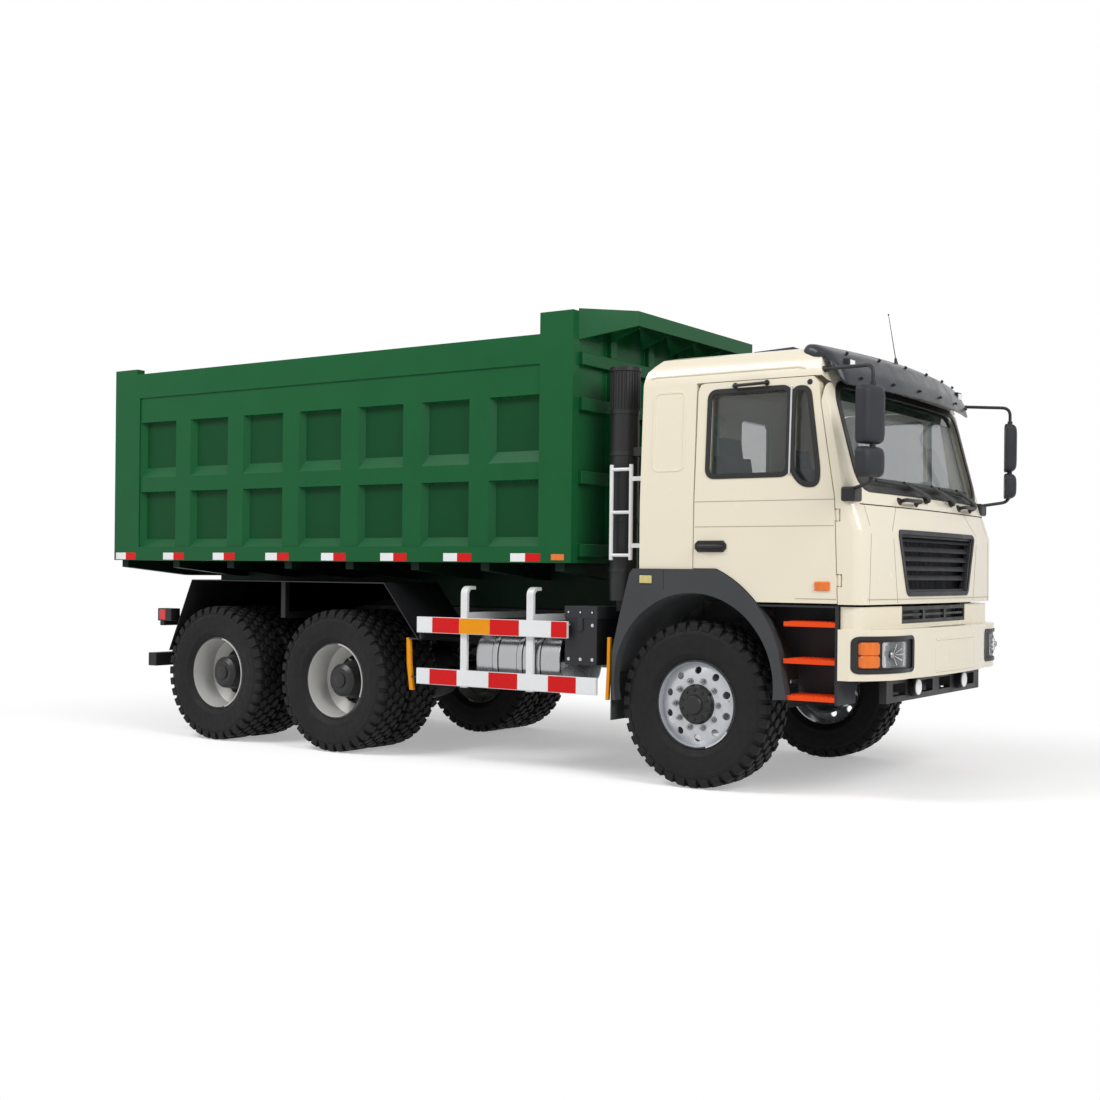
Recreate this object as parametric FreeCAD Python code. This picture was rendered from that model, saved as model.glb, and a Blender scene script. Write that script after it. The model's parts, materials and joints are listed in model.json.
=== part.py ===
import FreeCAD, Part
import math
import os

V = FreeCAD.Vector

# Overall plan, millimetres: X forward, Y to the truck's left, Z up from the ground
FRONT_OVERHANG = 1402.0
WHEELBASE = 3250.0
TANDEM_SPREAD = 1350.0
REAR_OVERHANG = 1305.0
OVERALL_LENGTH = FRONT_OVERHANG + WHEELBASE + TANDEM_SPREAD + REAR_OVERHANG
NOSE_X = OVERALL_LENGTH / 2
TAIL_X = -OVERALL_LENGTH / 2
AXLE_1_X = NOSE_X - FRONT_OVERHANG
AXLE_2_X = AXLE_1_X - WHEELBASE
AXLE_3_X = AXLE_2_X - TANDEM_SPREAD
PIN_GAP = 0.3
SEAM = 5.0

# Tyres and rims
TYRE_RADIUS = 562.5
TYRE_HALF_WIDTH = 157.0
TYRE_SHOULDER = 150.0
TYRE_BULGE_RADIUS = 430.0
TREAD_ROOT_RADIUS = 541.0
SHOULDER_RADIUS = 522.0
LUG_COUNT = 20
LUG_SHARE = 0.56
RIM_RADIUS = 298.5
RIM_HALF_WIDTH = 118.0
RIM_WALL = 12.0
HAND_HOLES = 10
HAND_HOLE_CIRCLE = 228.0
HAND_HOLE_RADIUS = 25.0
AXLE_Z = TYRE_RADIUS
FRONT_WHEEL_Y = 1018.0
DUAL_CENTRE_Y = 907.0
DUAL_SPACING = 340.0
SPINDLE_RADIUS = 40.0
HUB_TUBE_RADIUS = 60.0
DRUM_RADIUS = 215.0
DRUM_WALL = 20.0

# Ladder frame
FRAME_ABOVE_AXLE = 307.5
FRAME_DEPTH = 280.0
FRAME_HALF_WIDTH = 430.0
RAIL_WEB = 10.0
RAIL_FLANGE = 80.0
FRAME_Z0 = AXLE_Z + FRAME_ABOVE_AXLE
FRAME_Z1 = FRAME_Z0 + FRAME_DEPTH
FRAME_NOSE_GAP = 330.0
FRAME_TAIL_GAP = 455.0
FRAME_X1 = NOSE_X - FRAME_NOSE_GAP
FRAME_X0 = TAIL_X + FRAME_TAIL_GAP
RAIL_INNER_Y = FRAME_HALF_WIDTH - RAIL_FLANGE

# Cab
CAB_BEHIND_AXLE = 400.0
CAB_FACE_SETBACK = 125.0
CAB_HALF_WIDTH = 1225.0
CAB_WALL = 60.0
CAB_ABOVE_FRAME = 105.0
CAB_HEIGHT = 1650.0
CAB_REAR_X = AXLE_1_X - CAB_BEHIND_AXLE
CAB_FACE_X = NOSE_X - CAB_FACE_SETBACK
CAB_Z0 = FRAME_Z1 + CAB_ABOVE_FRAME
CAB_Z1 = CAB_Z0 + CAB_HEIGHT
BELT_Z = CAB_Z0 + 730.0
ROOF_SEAM_DROP = 199.0
ROOF_SEAM_Z = CAB_Z1 - ROOF_SEAM_DROP
CAB_FLOOR_Z = CAB_Z0 + 75.0
CAB_FLOOR_THICKNESS = 40.0
WINDOW_CORNER = 42.0
SCREEN_CORNER = 110.0
DOOR_FRONT_X = CAB_FACE_X - 212.0
DOOR_REAR_X = AXLE_1_X + 16.0
LOW_SEAM_RUN = 26.0
FRONT_SEAM_RUN = 140.0
DOOR_SEAM = 7.0
BOW_RADIUS = 14000.0
CORNER_RADIUS = 80.0
VISOR_BOW = 5500.0
SIDE_LEAN = 35.0
ARCH_RISE = 103.0
ARCH_X = AXLE_1_X + 20.0
ARCH_Z = AXLE_Z + ARCH_RISE
ARCH_RADIUS = 640.0
ARCH_LINER = 15.0
FLARE_MOUTH_RADIUS = 608.0
FLARE_MOUTH_RISE = 140.0
FLARE_DEPTH = 75.0
FLARE_HALF_WIDTH = CAB_HALF_WIDTH + 15.0
SIDE_CUT_Y0 = CAB_HALF_WIDTH - 225.0
SIDE_CUT_Y1 = CAB_HALF_WIDTH + 175.0

# Tipping bed
CAB_BED_GAP = 557.0
BED_HALF_WIDTH = 1240.0
BED_WALL = 80.0
BED_RUNNER_DEPTH = 220.0
BED_BEARER_DEPTH = 130.0
BED_FLOOR_PLATE = 15.0
BED_X0 = TAIL_X + 17.0
BED_X1 = CAB_REAR_X - CAB_BED_GAP
BED_REST_GAP = 5.0
RUNNER_Z0 = FRAME_Z1 + BED_REST_GAP
BEARER_Z0 = RUNNER_Z0 + BED_RUNNER_DEPTH
FLOOR_Z0 = BEARER_Z0 + BED_BEARER_DEPTH
FLOOR_Z1 = FLOOR_Z0 + BED_FLOOR_PLATE
SILL_DEPTH = 116.0
SILL_Z1 = FLOOR_Z0 + SILL_DEPTH
SIDE_HEIGHT = 1627.0
SIDE_Z1 = FLOOR_Z0 + SIDE_HEIGHT
POST_RISE = 151.0
POST_Z1 = SIDE_Z1 + POST_RISE
POST_LENGTH = 286.0
PILLAR_LENGTH = 325.0
BAY_COUNT = 7
RIB_WIDTH = 180.0
POCKET_DEPTH = 60.0
TIP_BACK_OF_AXLE = 750.0
TIP_RISE = 80.0
TIP_X = AXLE_3_X - TIP_BACK_OF_AXLE
TIP_Z = FRAME_Z1 + TIP_RISE
TIP_SHAFT_RADIUS = 35.0
BEARER_COUNT = 8
BEARER_WIDTH = 80.0
BEARER_X0 = BED_X0 + 60.0
BEARER_PITCH = (BED_X1 - 160.0 - BEARER_X0) / (BEARER_COUNT - 1)

# Hoist
HOIST_BASE_X = AXLE_1_X - 1800.0
HOIST_BASE_Z = FRAME_Z0 + 30.0
HOIST_BAY = 2
HOIST_EYE_X = BEARER_X0 + (HOIST_BAY + 0.5) * BEARER_PITCH + BEARER_WIDTH / 2
HOIST_EYE_Z = RUNNER_Z0 + 135.0
BARREL_RADIUS = 90.0
ROD_RADIUS = 50.0
ROD_SHOWING = 780.0


def box(x0, x1, y0, y1, z0, z1):
    return Part.makeBox(x1 - x0, y1 - y0, z1 - z0, V(x0, y0, z0))


def cylinder_y(x, z, y0, y1, radius):
    return Part.makeCylinder(radius, y1 - y0, V(x, y0, z), V(0, 1, 0))


def cylinder_z(x, y, z0, z1, radius):
    return Part.makeCylinder(radius, z1 - z0, V(x, y, z0), V(0, 0, 1))


def rod(start, end, radius):
    run = V(*end) - V(*start)
    return Part.makeCylinder(radius, run.Length, V(*start), run)


def prism(points, direction):
    wire = Part.makePolygon(points + [points[0]])
    return Part.Face(wire).extrude(direction)


def prism_y(points, y0, y1):
    return prism([V(x, y0, z) for x, z in points], V(0, y1 - y0, 0))


def prism_x(points, x0, x1):
    return prism([V(x0, y, z) for y, z in points], V(x1 - x0, 0, 0))


def prism_z(points, z0, z1):
    return prism([V(x, y, z0) for x, y in points], V(0, 0, z1 - z0))


def fuse(shapes):
    whole = shapes[0]
    if len(shapes) > 1:
        whole = shapes[0].fuse(shapes[1:])
    return whole.removeSplitter()


def both_sides(shape):
    return [shape, flip(shape)]


def flip(shape):
    return shape.mirror(V(0, 0, 0), V(0, 1, 0))


def revolve_y(profile, x, z, segments_angle=360):
    wire = Part.makePolygon([V(x, y, z + r) for y, r in profile + [profile[0]]])
    return Part.Face(wire).revolve(V(x, 0, z), V(0, 1, 0), segments_angle)


def polygon_ring(count, radius, y):
    turn = 2 * math.pi / count
    return [V(radius * math.cos(i * turn), y, radius * math.sin(i * turn)) for i in range(count)]


def closed_wire(points):
    return Part.makePolygon(points + [points[0]])


def lug_ring(y):
    pitch = 2 * math.pi / LUG_COUNT
    half_tip = pitch * LUG_SHARE / 2
    half_foot = half_tip + pitch * 0.06
    points = []
    for i in range(LUG_COUNT):
        middle = i * pitch
        corners = [
            (-half_foot, TREAD_ROOT_RADIUS),
            (-half_tip, TYRE_RADIUS / math.cos(half_tip)),
            (half_tip, TYRE_RADIUS / math.cos(half_tip)),
            (half_foot, TREAD_ROOT_RADIUS),
        ]
        for angle, radius in corners:
            turned = middle + angle - math.pi / 2
            points.append(V(radius * math.cos(turned), y, radius * math.sin(turned)))
    return points


def band(ring_0, ring_1):
    faces = []
    for i in range(len(ring_0)):
        j = (i + 1) % len(ring_0)
        faces.append(Part.Face(closed_wire([ring_0[i], ring_0[j], ring_1[j], ring_1[i]])))
    return faces


def tyre(bulged):
    bore_radius = (RIM_RADIUS + PIN_GAP) / math.cos(math.pi / LUG_COUNT)
    side = [(RIM_HALF_WIDTH, bore_radius), (TYRE_SHOULDER, SHOULDER_RADIUS)]
    if bulged:
        side.insert(1, (TYRE_HALF_WIDTH, TYRE_BULGE_RADIUS))
    faces = band(polygon_ring(LUG_COUNT, bore_radius, -RIM_HALF_WIDTH),
                 polygon_ring(LUG_COUNT, bore_radius, RIM_HALF_WIDTH))
    for way in (-1, 1):
        rings = [polygon_ring(LUG_COUNT, radius, way * y) for y, radius in side]
        for inner, outer in zip(rings, rings[1:]):
            faces.extend(band(inner, outer))
        edge = [closed_wire(lug_ring(way * TYRE_SHOULDER)), closed_wire(rings[-1])]
        faces.append(Part.makeFace(edge, "Part::FaceMakerBullseye"))
    faces.extend(band(lug_ring(-TYRE_SHOULDER), lug_ring(TYRE_SHOULDER)))
    shell = Part.makeShell(faces)
    shell.sewShape()
    solid = Part.makeSolid(shell)
    if solid.Volume < 0:
        solid.reverse()
    return solid


def placed(shape, x, y, z):
    moved = shape.copy()
    moved.translate(V(x, y, z))
    return moved


def rim_barrel(y_centre):
    y0, y1 = y_centre - RIM_HALF_WIDTH, y_centre + RIM_HALF_WIDTH
    inner = RIM_RADIUS - RIM_WALL
    return [(y0, RIM_RADIUS), (y1, RIM_RADIUS), (y1, inner), (y0, inner)]


def front_rim():
    y = FRONT_WHEEL_Y
    outer = RIM_RADIUS - RIM_WALL + 2
    disc = [(y + 60, outer), (y + 74, 265), (y + 98, 188), (y + 102, 90), (y + 88, 90), (y + 84, 186),
            (y + 60, 261), (y + 46, outer)]
    drum_y0 = y - RIM_HALF_WIDTH + 8
    drum_y1 = y + 70
    drum_in = DRUM_RADIUS - DRUM_WALL
    drum = [(drum_y0, DRUM_RADIUS), (drum_y1, DRUM_RADIUS - 15), (drum_y1 + 20, 150), (drum_y1, 150),
            (drum_y1 - 14, drum_in - 15), (drum_y0, drum_in)]
    cap_y = y + 155.0
    bore = SPINDLE_RADIUS + PIN_GAP
    hub = [(y - 20, 85), (y + 78, 158), (y + 108, 128), (y + 128, 122), (cap_y - 12, 62), (cap_y, 50),
           (cap_y, 0), (y + 85, 0), (y + 85, bore), (y - 20, bore)]
    shapes = [revolve_y(p, AXLE_1_X, AXLE_Z) for p in (rim_barrel(y), drum, hub)]
    dish = revolve_y(disc, AXLE_1_X, AXLE_Z)
    for i in range(HAND_HOLES):
        turn = 2 * math.pi * (i + 0.5) / HAND_HOLES
        hole_x = AXLE_1_X + HAND_HOLE_CIRCLE * math.cos(turn)
        hole_z = AXLE_Z + HAND_HOLE_CIRCLE * math.sin(turn)
        dish = dish.cut(cylinder_y(hole_x, hole_z, y + 30, y + 120, HAND_HOLE_RADIUS))
    return fuse(shapes + [dish])


def rear_rims(x):
    half = DUAL_SPACING / 2
    c = DUAL_CENTRE_Y
    inner = RIM_RADIUS - RIM_WALL
    foot = half - RIM_HALF_WIDTH
    outer_disc = [(c, 150), (c + 14, 150), (c + 14, 205), (c + foot + 22, inner + 3), (c + foot, inner + 3),
                  (c, 215)]
    inner_disc = [(2 * c - y, r) for y, r in outer_disc]
    drum_y0 = c - half - RIM_HALF_WIDTH + 30
    drum_in = DRUM_RADIUS - DRUM_WALL
    drum = [(drum_y0, DRUM_RADIUS), (c - 60, DRUM_RADIUS), (c - 10, 205), (c - 10, 150), (c - 30, 150),
            (c - 75, drum_in), (drum_y0, drum_in)]
    bore = HUB_TUBE_RADIUS + PIN_GAP
    hub = [(c - 30, 155), (c + 60, 155), (c + 110, 140), (c + 200, 130), (c + 225, 95), (c + 225, 0),
           (c + 20, 0), (c + 20, bore), (c - 80, bore), (c - 80, 110)]
    profiles = [rim_barrel(c + half), rim_barrel(c - half), outer_disc, inner_disc, drum, hub]
    return fuse([revolve_y(p, x, AXLE_Z) for p in profiles])


KINGPIN_Y = FRONT_WHEEL_Y - 118.0
KINGPIN_RADIUS = 25.0
KNUCKLE_HALF = 75.0
YOKE_ARM = 40.0


def knuckle():
    x, z = AXLE_1_X, AXLE_Z
    reach = KNUCKLE_HALF + YOKE_ARM + PIN_GAP
    spindle = cylinder_y(x, z, KINGPIN_Y + 55, FRONT_WHEEL_Y + 80, SPINDLE_RADIUS)
    plate = box(x - 50, x + 50, KINGPIN_Y + 52, KINGPIN_Y + 80, z - reach, z + reach)
    arms = []
    for side in (-1, 1):
        z0 = z + side * (KNUCKLE_HALF + PIN_GAP)
        z1 = z + side * reach
        low, high = min(z0, z1), max(z0, z1)
        arms.append(box(x - 40, x + 40, KINGPIN_Y, KINGPIN_Y + 60, low, high))
        arms.append(cylinder_z(x, KINGPIN_Y, low, high, 45))
    steer_arm = prism_z([(x - 40, KINGPIN_Y + 20), (x - 40, KINGPIN_Y - 20), (x - 170, KINGPIN_Y - 70),
                         (x - 170, KINGPIN_Y - 40)], z - reach, z - reach + 24)
    body = fuse([spindle, plate, steer_arm] + arms)
    return body.cut(cylinder_z(x, KINGPIN_Y, z - reach - 1, z + reach + 1, KINGPIN_RADIUS + PIN_GAP))


def front_axle():
    x, z = AXLE_1_X, AXLE_Z
    reach = KNUCKLE_HALF + YOKE_ARM + PIN_GAP
    drop = 70.0
    half = 45.0
    path = [(KINGPIN_Y - 40, z - half), (KINGPIN_Y - 40, z + half), (KINGPIN_Y - 190, z + half),
            (KINGPIN_Y - 270, z + half - drop), (-KINGPIN_Y + 270, z + half - drop),
            (-KINGPIN_Y + 190, z + half), (-KINGPIN_Y + 40, z + half), (-KINGPIN_Y + 40, z - half),
            (-KINGPIN_Y + 190, z - half), (-KINGPIN_Y + 270, z - half - drop),
            (KINGPIN_Y - 270, z - half - drop), (KINGPIN_Y - 190, z - half)]
    parts = [prism_x(path, x - 50, x + 50)]
    for y in (-KINGPIN_Y, KINGPIN_Y):
        parts.append(cylinder_z(x, y, z - KNUCKLE_HALF, z + KNUCKLE_HALF, 48))
        parts.append(cylinder_z(x, y, z - reach, z + reach, KINGPIN_RADIUS))
    spring_y = FRAME_HALF_WIDTH - RAIL_FLANGE / 2
    seat_z = z + half - drop
    for y in (-spring_y, spring_y):
        parts.append(leaf_pack(x, y, seat_z, 780.0, FRAME_Z0 - 60, 70.0, 80.0))
        for end in (-1, 1):
            hanger_x = x + end * 760.0
            parts.append(box(hanger_x - 45, hanger_x + 45, y - 38, y + 38, FRAME_Z0 - 95, FRAME_Z0))
    return fuse(parts)


def leaf_pack(x, y, z_low, reach, z_end, thick, width):
    end = 22.0
    low = Part.Arc(V(x - reach, 0, z_end - end), V(x, 0, z_low), V(x + reach, 0, z_end - end)).toShape()
    high = Part.Arc(V(x + reach, 0, z_end), V(x, 0, z_low + thick), V(x - reach, 0, z_end)).toShape()
    right = Part.LineSegment(V(x + reach, 0, z_end - end), V(x + reach, 0, z_end)).toShape()
    left = Part.LineSegment(V(x - reach, 0, z_end), V(x - reach, 0, z_end - end)).toShape()
    face = Part.Face(Part.Wire([low, right, high, left]))
    face.translate(V(0, y - width / 2, 0))
    return face.extrude(V(0, width, 0))


BANJO_RADIUS = 215.0


def rear_axle(x):
    tube_end = DUAL_CENTRE_Y - DUAL_SPACING / 2 - RIM_HALF_WIDTH + 20
    spindle_end = DUAL_CENTRE_Y - 10
    half = [(-spindle_end, 0), (-spindle_end, HUB_TUBE_RADIUS), (-tube_end, HUB_TUBE_RADIUS),
            (-tube_end, 80), (-300, 85), (-150, BANJO_RADIUS - 25), (0, BANJO_RADIUS)]
    profile = half + [(-y, r) for y, r in reversed(half[:-1])]
    return revolve_y(profile, x, AXLE_Z)


def rear_axles():
    mid_x = (AXLE_2_X + AXLE_3_X) / 2
    spring_y = FRAME_HALF_WIDTH + 70.0
    parts = [rear_axle(AXLE_2_X), rear_axle(AXLE_3_X)]
    pad_z = AXLE_Z + 75.0
    for y in (-spring_y, spring_y):
        parts.append(leaf_pack(mid_x, y, pad_z - 40, TANDEM_SPREAD / 2 + 60, pad_z + 40, 150.0, 90.0))
        parts.append(box(mid_x - 90, mid_x + 90, min(y, y * 0.78), max(y, y * 0.78), pad_z - 90, FRAME_Z0))
    parts.append(cylinder_y(mid_x, pad_z - 60, -spring_y, spring_y, 50))
    return fuse(parts)


def drive_shafts():
    gearbox_x = ENGINE_X0 - GEARBOX_LENGTH
    nose = BANJO_RADIUS + PIN_GAP
    front = rod((gearbox_x + 20, 0, GEARBOX_Z), (AXLE_2_X + nose - 30, 0, AXLE_Z + 20), 42)
    front = front.cut(cylinder_y(AXLE_2_X, AXLE_Z, -100, 100, nose))
    front = front.cut(box(gearbox_x - PIN_GAP, gearbox_x + 60, -100, 100, GEARBOX_Z - 100, GEARBOX_Z + 100))
    rear_z = AXLE_Z + 125
    rear = rod((AXLE_2_X - 150, 0, rear_z), (AXLE_3_X + 150, 0, rear_z), 42)
    for axle_x in (AXLE_2_X, AXLE_3_X):
        rear = rear.cut(cylinder_y(axle_x, AXLE_Z, -100, 100, nose))
    return [front, rear]


ENGINE_X0 = AXLE_1_X - 420.0
ENGINE_LENGTH = 1250.0
ENGINE_HALF_WIDTH = 290.0
GEARBOX_LENGTH = 620.0
GEARBOX_Z = FRAME_Z0 - 40.0


def engine_block():
    x1 = ENGINE_X0 + ENGINE_LENGTH
    block = box(ENGINE_X0, x1, -ENGINE_HALF_WIDTH, ENGINE_HALF_WIDTH, FRAME_Z0 - 170, CAB_Z0 - 30)
    gearbox = box(ENGINE_X0 - GEARBOX_LENGTH, ENGINE_X0, -170, 170, GEARBOX_Z - 150, GEARBOX_Z + 170)
    feet = []
    for x in (ENGINE_X0 + 150, x1 - 300):
        feet.append(box(x, x + 120, -RAIL_INNER_Y, RAIL_INNER_Y, FRAME_Z0, FRAME_Z0 + 60))
    radiator = box(x1 + 60, x1 + 130, -RAIL_INNER_Y, RAIL_INNER_Y, FRAME_Z0, CAB_Z0 - 30)
    neck = box(x1, x1 + 60, -60, 60, FRAME_Z0 + 150, FRAME_Z0 + 270)
    return fuse([block, gearbox, radiator, neck] + feet)


def frame_rails():
    y = FRAME_HALF_WIDTH
    inner = y - RAIL_FLANGE
    section = [(y, FRAME_Z0), (y, FRAME_Z1), (inner, FRAME_Z1), (inner, FRAME_Z1 - RAIL_WEB),
               (y - RAIL_WEB, FRAME_Z1 - RAIL_WEB), (y - RAIL_WEB, FRAME_Z0 + RAIL_WEB),
               (inner, FRAME_Z0 + RAIL_WEB), (inner, FRAME_Z0)]
    return both_sides(prism_x(section, FRAME_X0, FRAME_X1))


TOW_BORE_RADIUS = 25.0
TOW_PLATE = 40.0


def cross_members():
    y = FRAME_HALF_WIDTH - RAIL_WEB
    z0, z1 = FRAME_Z0 + RAIL_WEB, FRAME_Z1 - RAIL_WEB
    mid_x = (AXLE_2_X + AXLE_3_X) / 2
    members = []
    for x, top in ((FRAME_X1 - 60, z1), (HOIST_BASE_X + 110, z1), (mid_x, z0 + 110)):
        members.append(box(x - 40, x + 40, -y, y, z0, top))
    tail = box(FRAME_X0 + 10, FRAME_X0 + 190, -y, y, z0, z1)
    ears = []
    for side in (-1, 1):
        y0, y1 = sorted((side * 250.0, side * (RAIL_INNER_Y - 8)))
        ear = box(TIP_X - 60, TIP_X + 60, y0, y1, z1 - 20, TIP_Z)
        ears.append(ear.fuse(cylinder_y(TIP_X, TIP_Z, y0, y1, 60)))
    shaft = cylinder_y(TIP_X, TIP_Z, -FRAME_HALF_WIDTH, FRAME_HALF_WIDTH, TIP_SHAFT_RADIUS)
    members.append(fuse([tail, shaft] + ears + [tow_plate(FRAME_X0 + 10, -1)]))
    members[0] = fuse([members[0], tow_plate(FRAME_X1 - 20, 1)])
    members[1] = fuse([members[1]] + hoist_clevis())
    return members


def tow_plate(x, way):
    reach = 110.0
    z = FRAME_Z0 + RAIL_WEB
    tip = x + way * reach
    x0, x1 = sorted((x, tip))
    plate = box(x0, x1, -60, 60, z, z + TOW_PLATE)
    plate = plate.fuse(cylinder_z(tip, 0, z, z + TOW_PLATE, 60))
    return plate.cut(cylinder_z(tip, 0, z - 1, z + TOW_PLATE + 1, TOW_BORE_RADIUS))


def hoist_clevis():
    parts = []
    for side in (-1, 1):
        y0, y1 = sorted((side * 60.0, side * 85.0))
        cheek = box(HOIST_BASE_X, HOIST_BASE_X + 75, y0, y1, HOIST_BASE_Z - 60, HOIST_BASE_Z + 60)
        parts.append(cheek.fuse(cylinder_y(HOIST_BASE_X, HOIST_BASE_Z, y0, y1, 60)))
    parts.append(cylinder_y(HOIST_BASE_X, HOIST_BASE_Z, -85, 85, 30))
    return parts


def along_hoist(distance):
    run = V(HOIST_EYE_X - HOIST_BASE_X, 0, HOIST_EYE_Z - HOIST_BASE_Z)
    run.normalize()
    base = V(HOIST_BASE_X, 0, HOIST_BASE_Z)
    return base + run * distance


HOIST_LENGTH = math.hypot(HOIST_EYE_X - HOIST_BASE_X, HOIST_EYE_Z - HOIST_BASE_Z)
BARREL_LENGTH = HOIST_LENGTH - ROD_SHOWING
EYE_RADIUS = 65.0


def hoist_barrel():
    eye = cylinder_y(HOIST_BASE_X, HOIST_BASE_Z, -54, 54, 58)
    tube = rod(along_hoist(45.0), along_hoist(BARREL_LENGTH), BARREL_RADIUS)
    gland = rod(along_hoist(BARREL_LENGTH - 60), along_hoist(BARREL_LENGTH), BARREL_RADIUS + 8)
    body = fuse([eye, tube.cut(box(HOIST_BASE_X - 78, HOIST_BASE_X + 90, -200, -54, 0, 3000)).cut(
        box(HOIST_BASE_X - 78, HOIST_BASE_X + 90, 54, 200, 0, 3000)), gland])
    body = body.cut(cylinder_y(HOIST_BASE_X, HOIST_BASE_Z, -60, 60, 30 + PIN_GAP))
    return body.cut(rod(along_hoist(120.0), along_hoist(BARREL_LENGTH + 5), ROD_RADIUS + PIN_GAP))


def hoist_rod():
    shaft = rod(along_hoist(130.0), along_hoist(HOIST_LENGTH), ROD_RADIUS)
    eye = cylinder_y(HOIST_EYE_X, HOIST_EYE_Z, -54, 54, EYE_RADIUS)
    body = fuse([shaft.cut(cylinder_y(HOIST_EYE_X, HOIST_EYE_Z, -60, 60, 40)), eye])
    return body.cut(cylinder_y(HOIST_EYE_X, HOIST_EYE_Z, -60, 60, 32))


TANK_X0 = AXLE_1_X - 1851.0
TANK_X1 = AXLE_1_X - 1090.0
TANK_Y0 = 610.0
TANK_Y1 = CAB_HALF_WIDTH - 45.0
TANK_Z0 = FRAME_Z0 - 270.0
TANK_Z1 = FRAME_Z0 + 130.0


def fuel_tank():
    body = box(TANK_X0, TANK_X1, -TANK_Y1, -TANK_Y0, TANK_Z0, TANK_Z1)
    edges = [e for e in body.Edges if abs(e.tangentAt(0).x) > 0.9]
    body = body.makeFillet(95, edges)
    grown = box(TANK_X0, TANK_X1, -TANK_Y1 - 6, -TANK_Y0 + 6, TANK_Z0 - 6, TANK_Z1 + 6)
    grown = grown.makeFillet(101, [e for e in grown.Edges if abs(e.tangentAt(0).x) > 0.9])
    parts = [body]
    for share in (0.25, 0.75):
        x = TANK_X0 + share * (TANK_X1 - TANK_X0)
        parts.append(grown.common(box(x - 25, x + 25, -2000, 0, 0, 2000)))
        parts.append(box(x - 35, x + 35, -TANK_Y0 - 60, -FRAME_HALF_WIDTH, TANK_Z1 - 130, TANK_Z1 - 50))
    return fuse(parts)


BATTERY_X0 = AXLE_1_X - 1035.0
BATTERY_X1 = AXLE_1_X - 765.0


def battery_box():
    body = box(BATTERY_X0, BATTERY_X1, -1190, -720, FRAME_Z0 - 80, FRAME_Z1 + 50)
    arm = box(BATTERY_X0 + 40, BATTERY_X1 - 40, -720, -FRAME_HALF_WIDTH, FRAME_Z0 + 60, FRAME_Z0 + 180)
    return fuse([body, arm])


def air_tanks():
    z = FRAME_Z0 + 60.0
    parts = []
    for y in (700.0, 1010.0):
        parts.append(rod((TANK_X0, y, z), (TANK_X1, y, z), 140))
    parts.append(box(TANK_X0 + 100, TANK_X0 + 160, FRAME_HALF_WIDTH, 1010, z - 25, z + 25))
    parts.append(box(TANK_X1 - 160, TANK_X1 - 100, FRAME_HALF_WIDTH, 1010, z - 25, z + 25))
    return fuse(parts)


GUARD_X0 = AXLE_1_X - 2356.0
GUARD_X1 = AXLE_1_X - 980.0
GUARD_LOW_X1 = AXLE_1_X - 730.0
GUARD_Y = BED_HALF_WIDTH - 18.0
GUARD_POST_RISE = 180.0
GUARD_POSTS = (AXLE_1_X - 1926.0, AXLE_1_X - 1322.0)


def side_guard():
    upper = box(GUARD_X0, GUARD_X1, GUARD_Y, GUARD_Y + 25, FRAME_Z0 + 105, FRAME_Z0 + 225)
    lower = box(GUARD_X0, GUARD_LOW_X1, GUARD_Y, GUARD_Y + 25, FRAME_Z0 - 280, FRAME_Z0 - 160)
    parts = [upper, lower]
    for x in GUARD_POSTS:
        parts.append(guard_post(x - 30, x + 30))
    return fuse(parts)


def guard_post(x0, x1):
    bend = 60.0
    thick = 26.0
    top = FRAME_Z1 + GUARD_POST_RISE
    outer = GUARD_Y
    leg = box(x0, x1, outer - thick, outer, FRAME_Z0 - 290, top - bend)
    curl = box(x0, x1, outer - bend - 45, outer - bend, top - thick, top)
    stay = box(x0 + 8, x1 - 8, FRAME_HALF_WIDTH, outer - thick, FRAME_Z1 - 65, FRAME_Z1 - 15)
    axis = V(x0, outer - bend, top - bend)
    ring = Part.makeCylinder(bend, x1 - x0, axis, V(1, 0, 0)).cut(
        Part.makeCylinder(bend - thick, x1 - x0, axis, V(1, 0, 0)))
    elbow = ring.common(box(x0, x1, outer - bend, outer, top - bend, top))
    return fuse([leg, curl, stay, elbow])


def rear_mudguard():
    top = BEARER_Z0 - 30.0
    skin = 8.0
    outer = [(AXLE_3_X - 564, FRAME_Z0 - 137), (AXLE_3_X - 281, top), (AXLE_2_X + 544, top),
             (AXLE_2_X + 901, FRAME_Z0 + 46)]
    inner = [(AXLE_2_X + 889, FRAME_Z0 + 46), (AXLE_2_X + 540, top - skin), (AXLE_3_X - 277, top - skin),
             (AXLE_3_X - 555, FRAME_Z0 - 137)]
    plate = prism_y(outer + inner, 590, BED_HALF_WIDTH - 8)
    mid_x = (AXLE_2_X + AXLE_3_X) / 2
    z = FRAME_Z1 - 60.0
    arms = [box(mid_x - 25, mid_x + 25, FRAME_HALF_WIDTH, 1100, z - 50, z),
            box(mid_x - 25, mid_x + 25, 1050, 1100, z, top - skin),
            box(AXLE_2_X + 810, AXLE_2_X + 860, FRAME_HALF_WIDTH, 1100, FRAME_Z0 + 60, FRAME_Z0 + 110),
            box(AXLE_3_X - 560, AXLE_3_X - 500, FRAME_HALF_WIDTH, 1100, FRAME_Z0 + 20, FRAME_Z0 + 70)]
    return fuse([plate] + arms)


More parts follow.
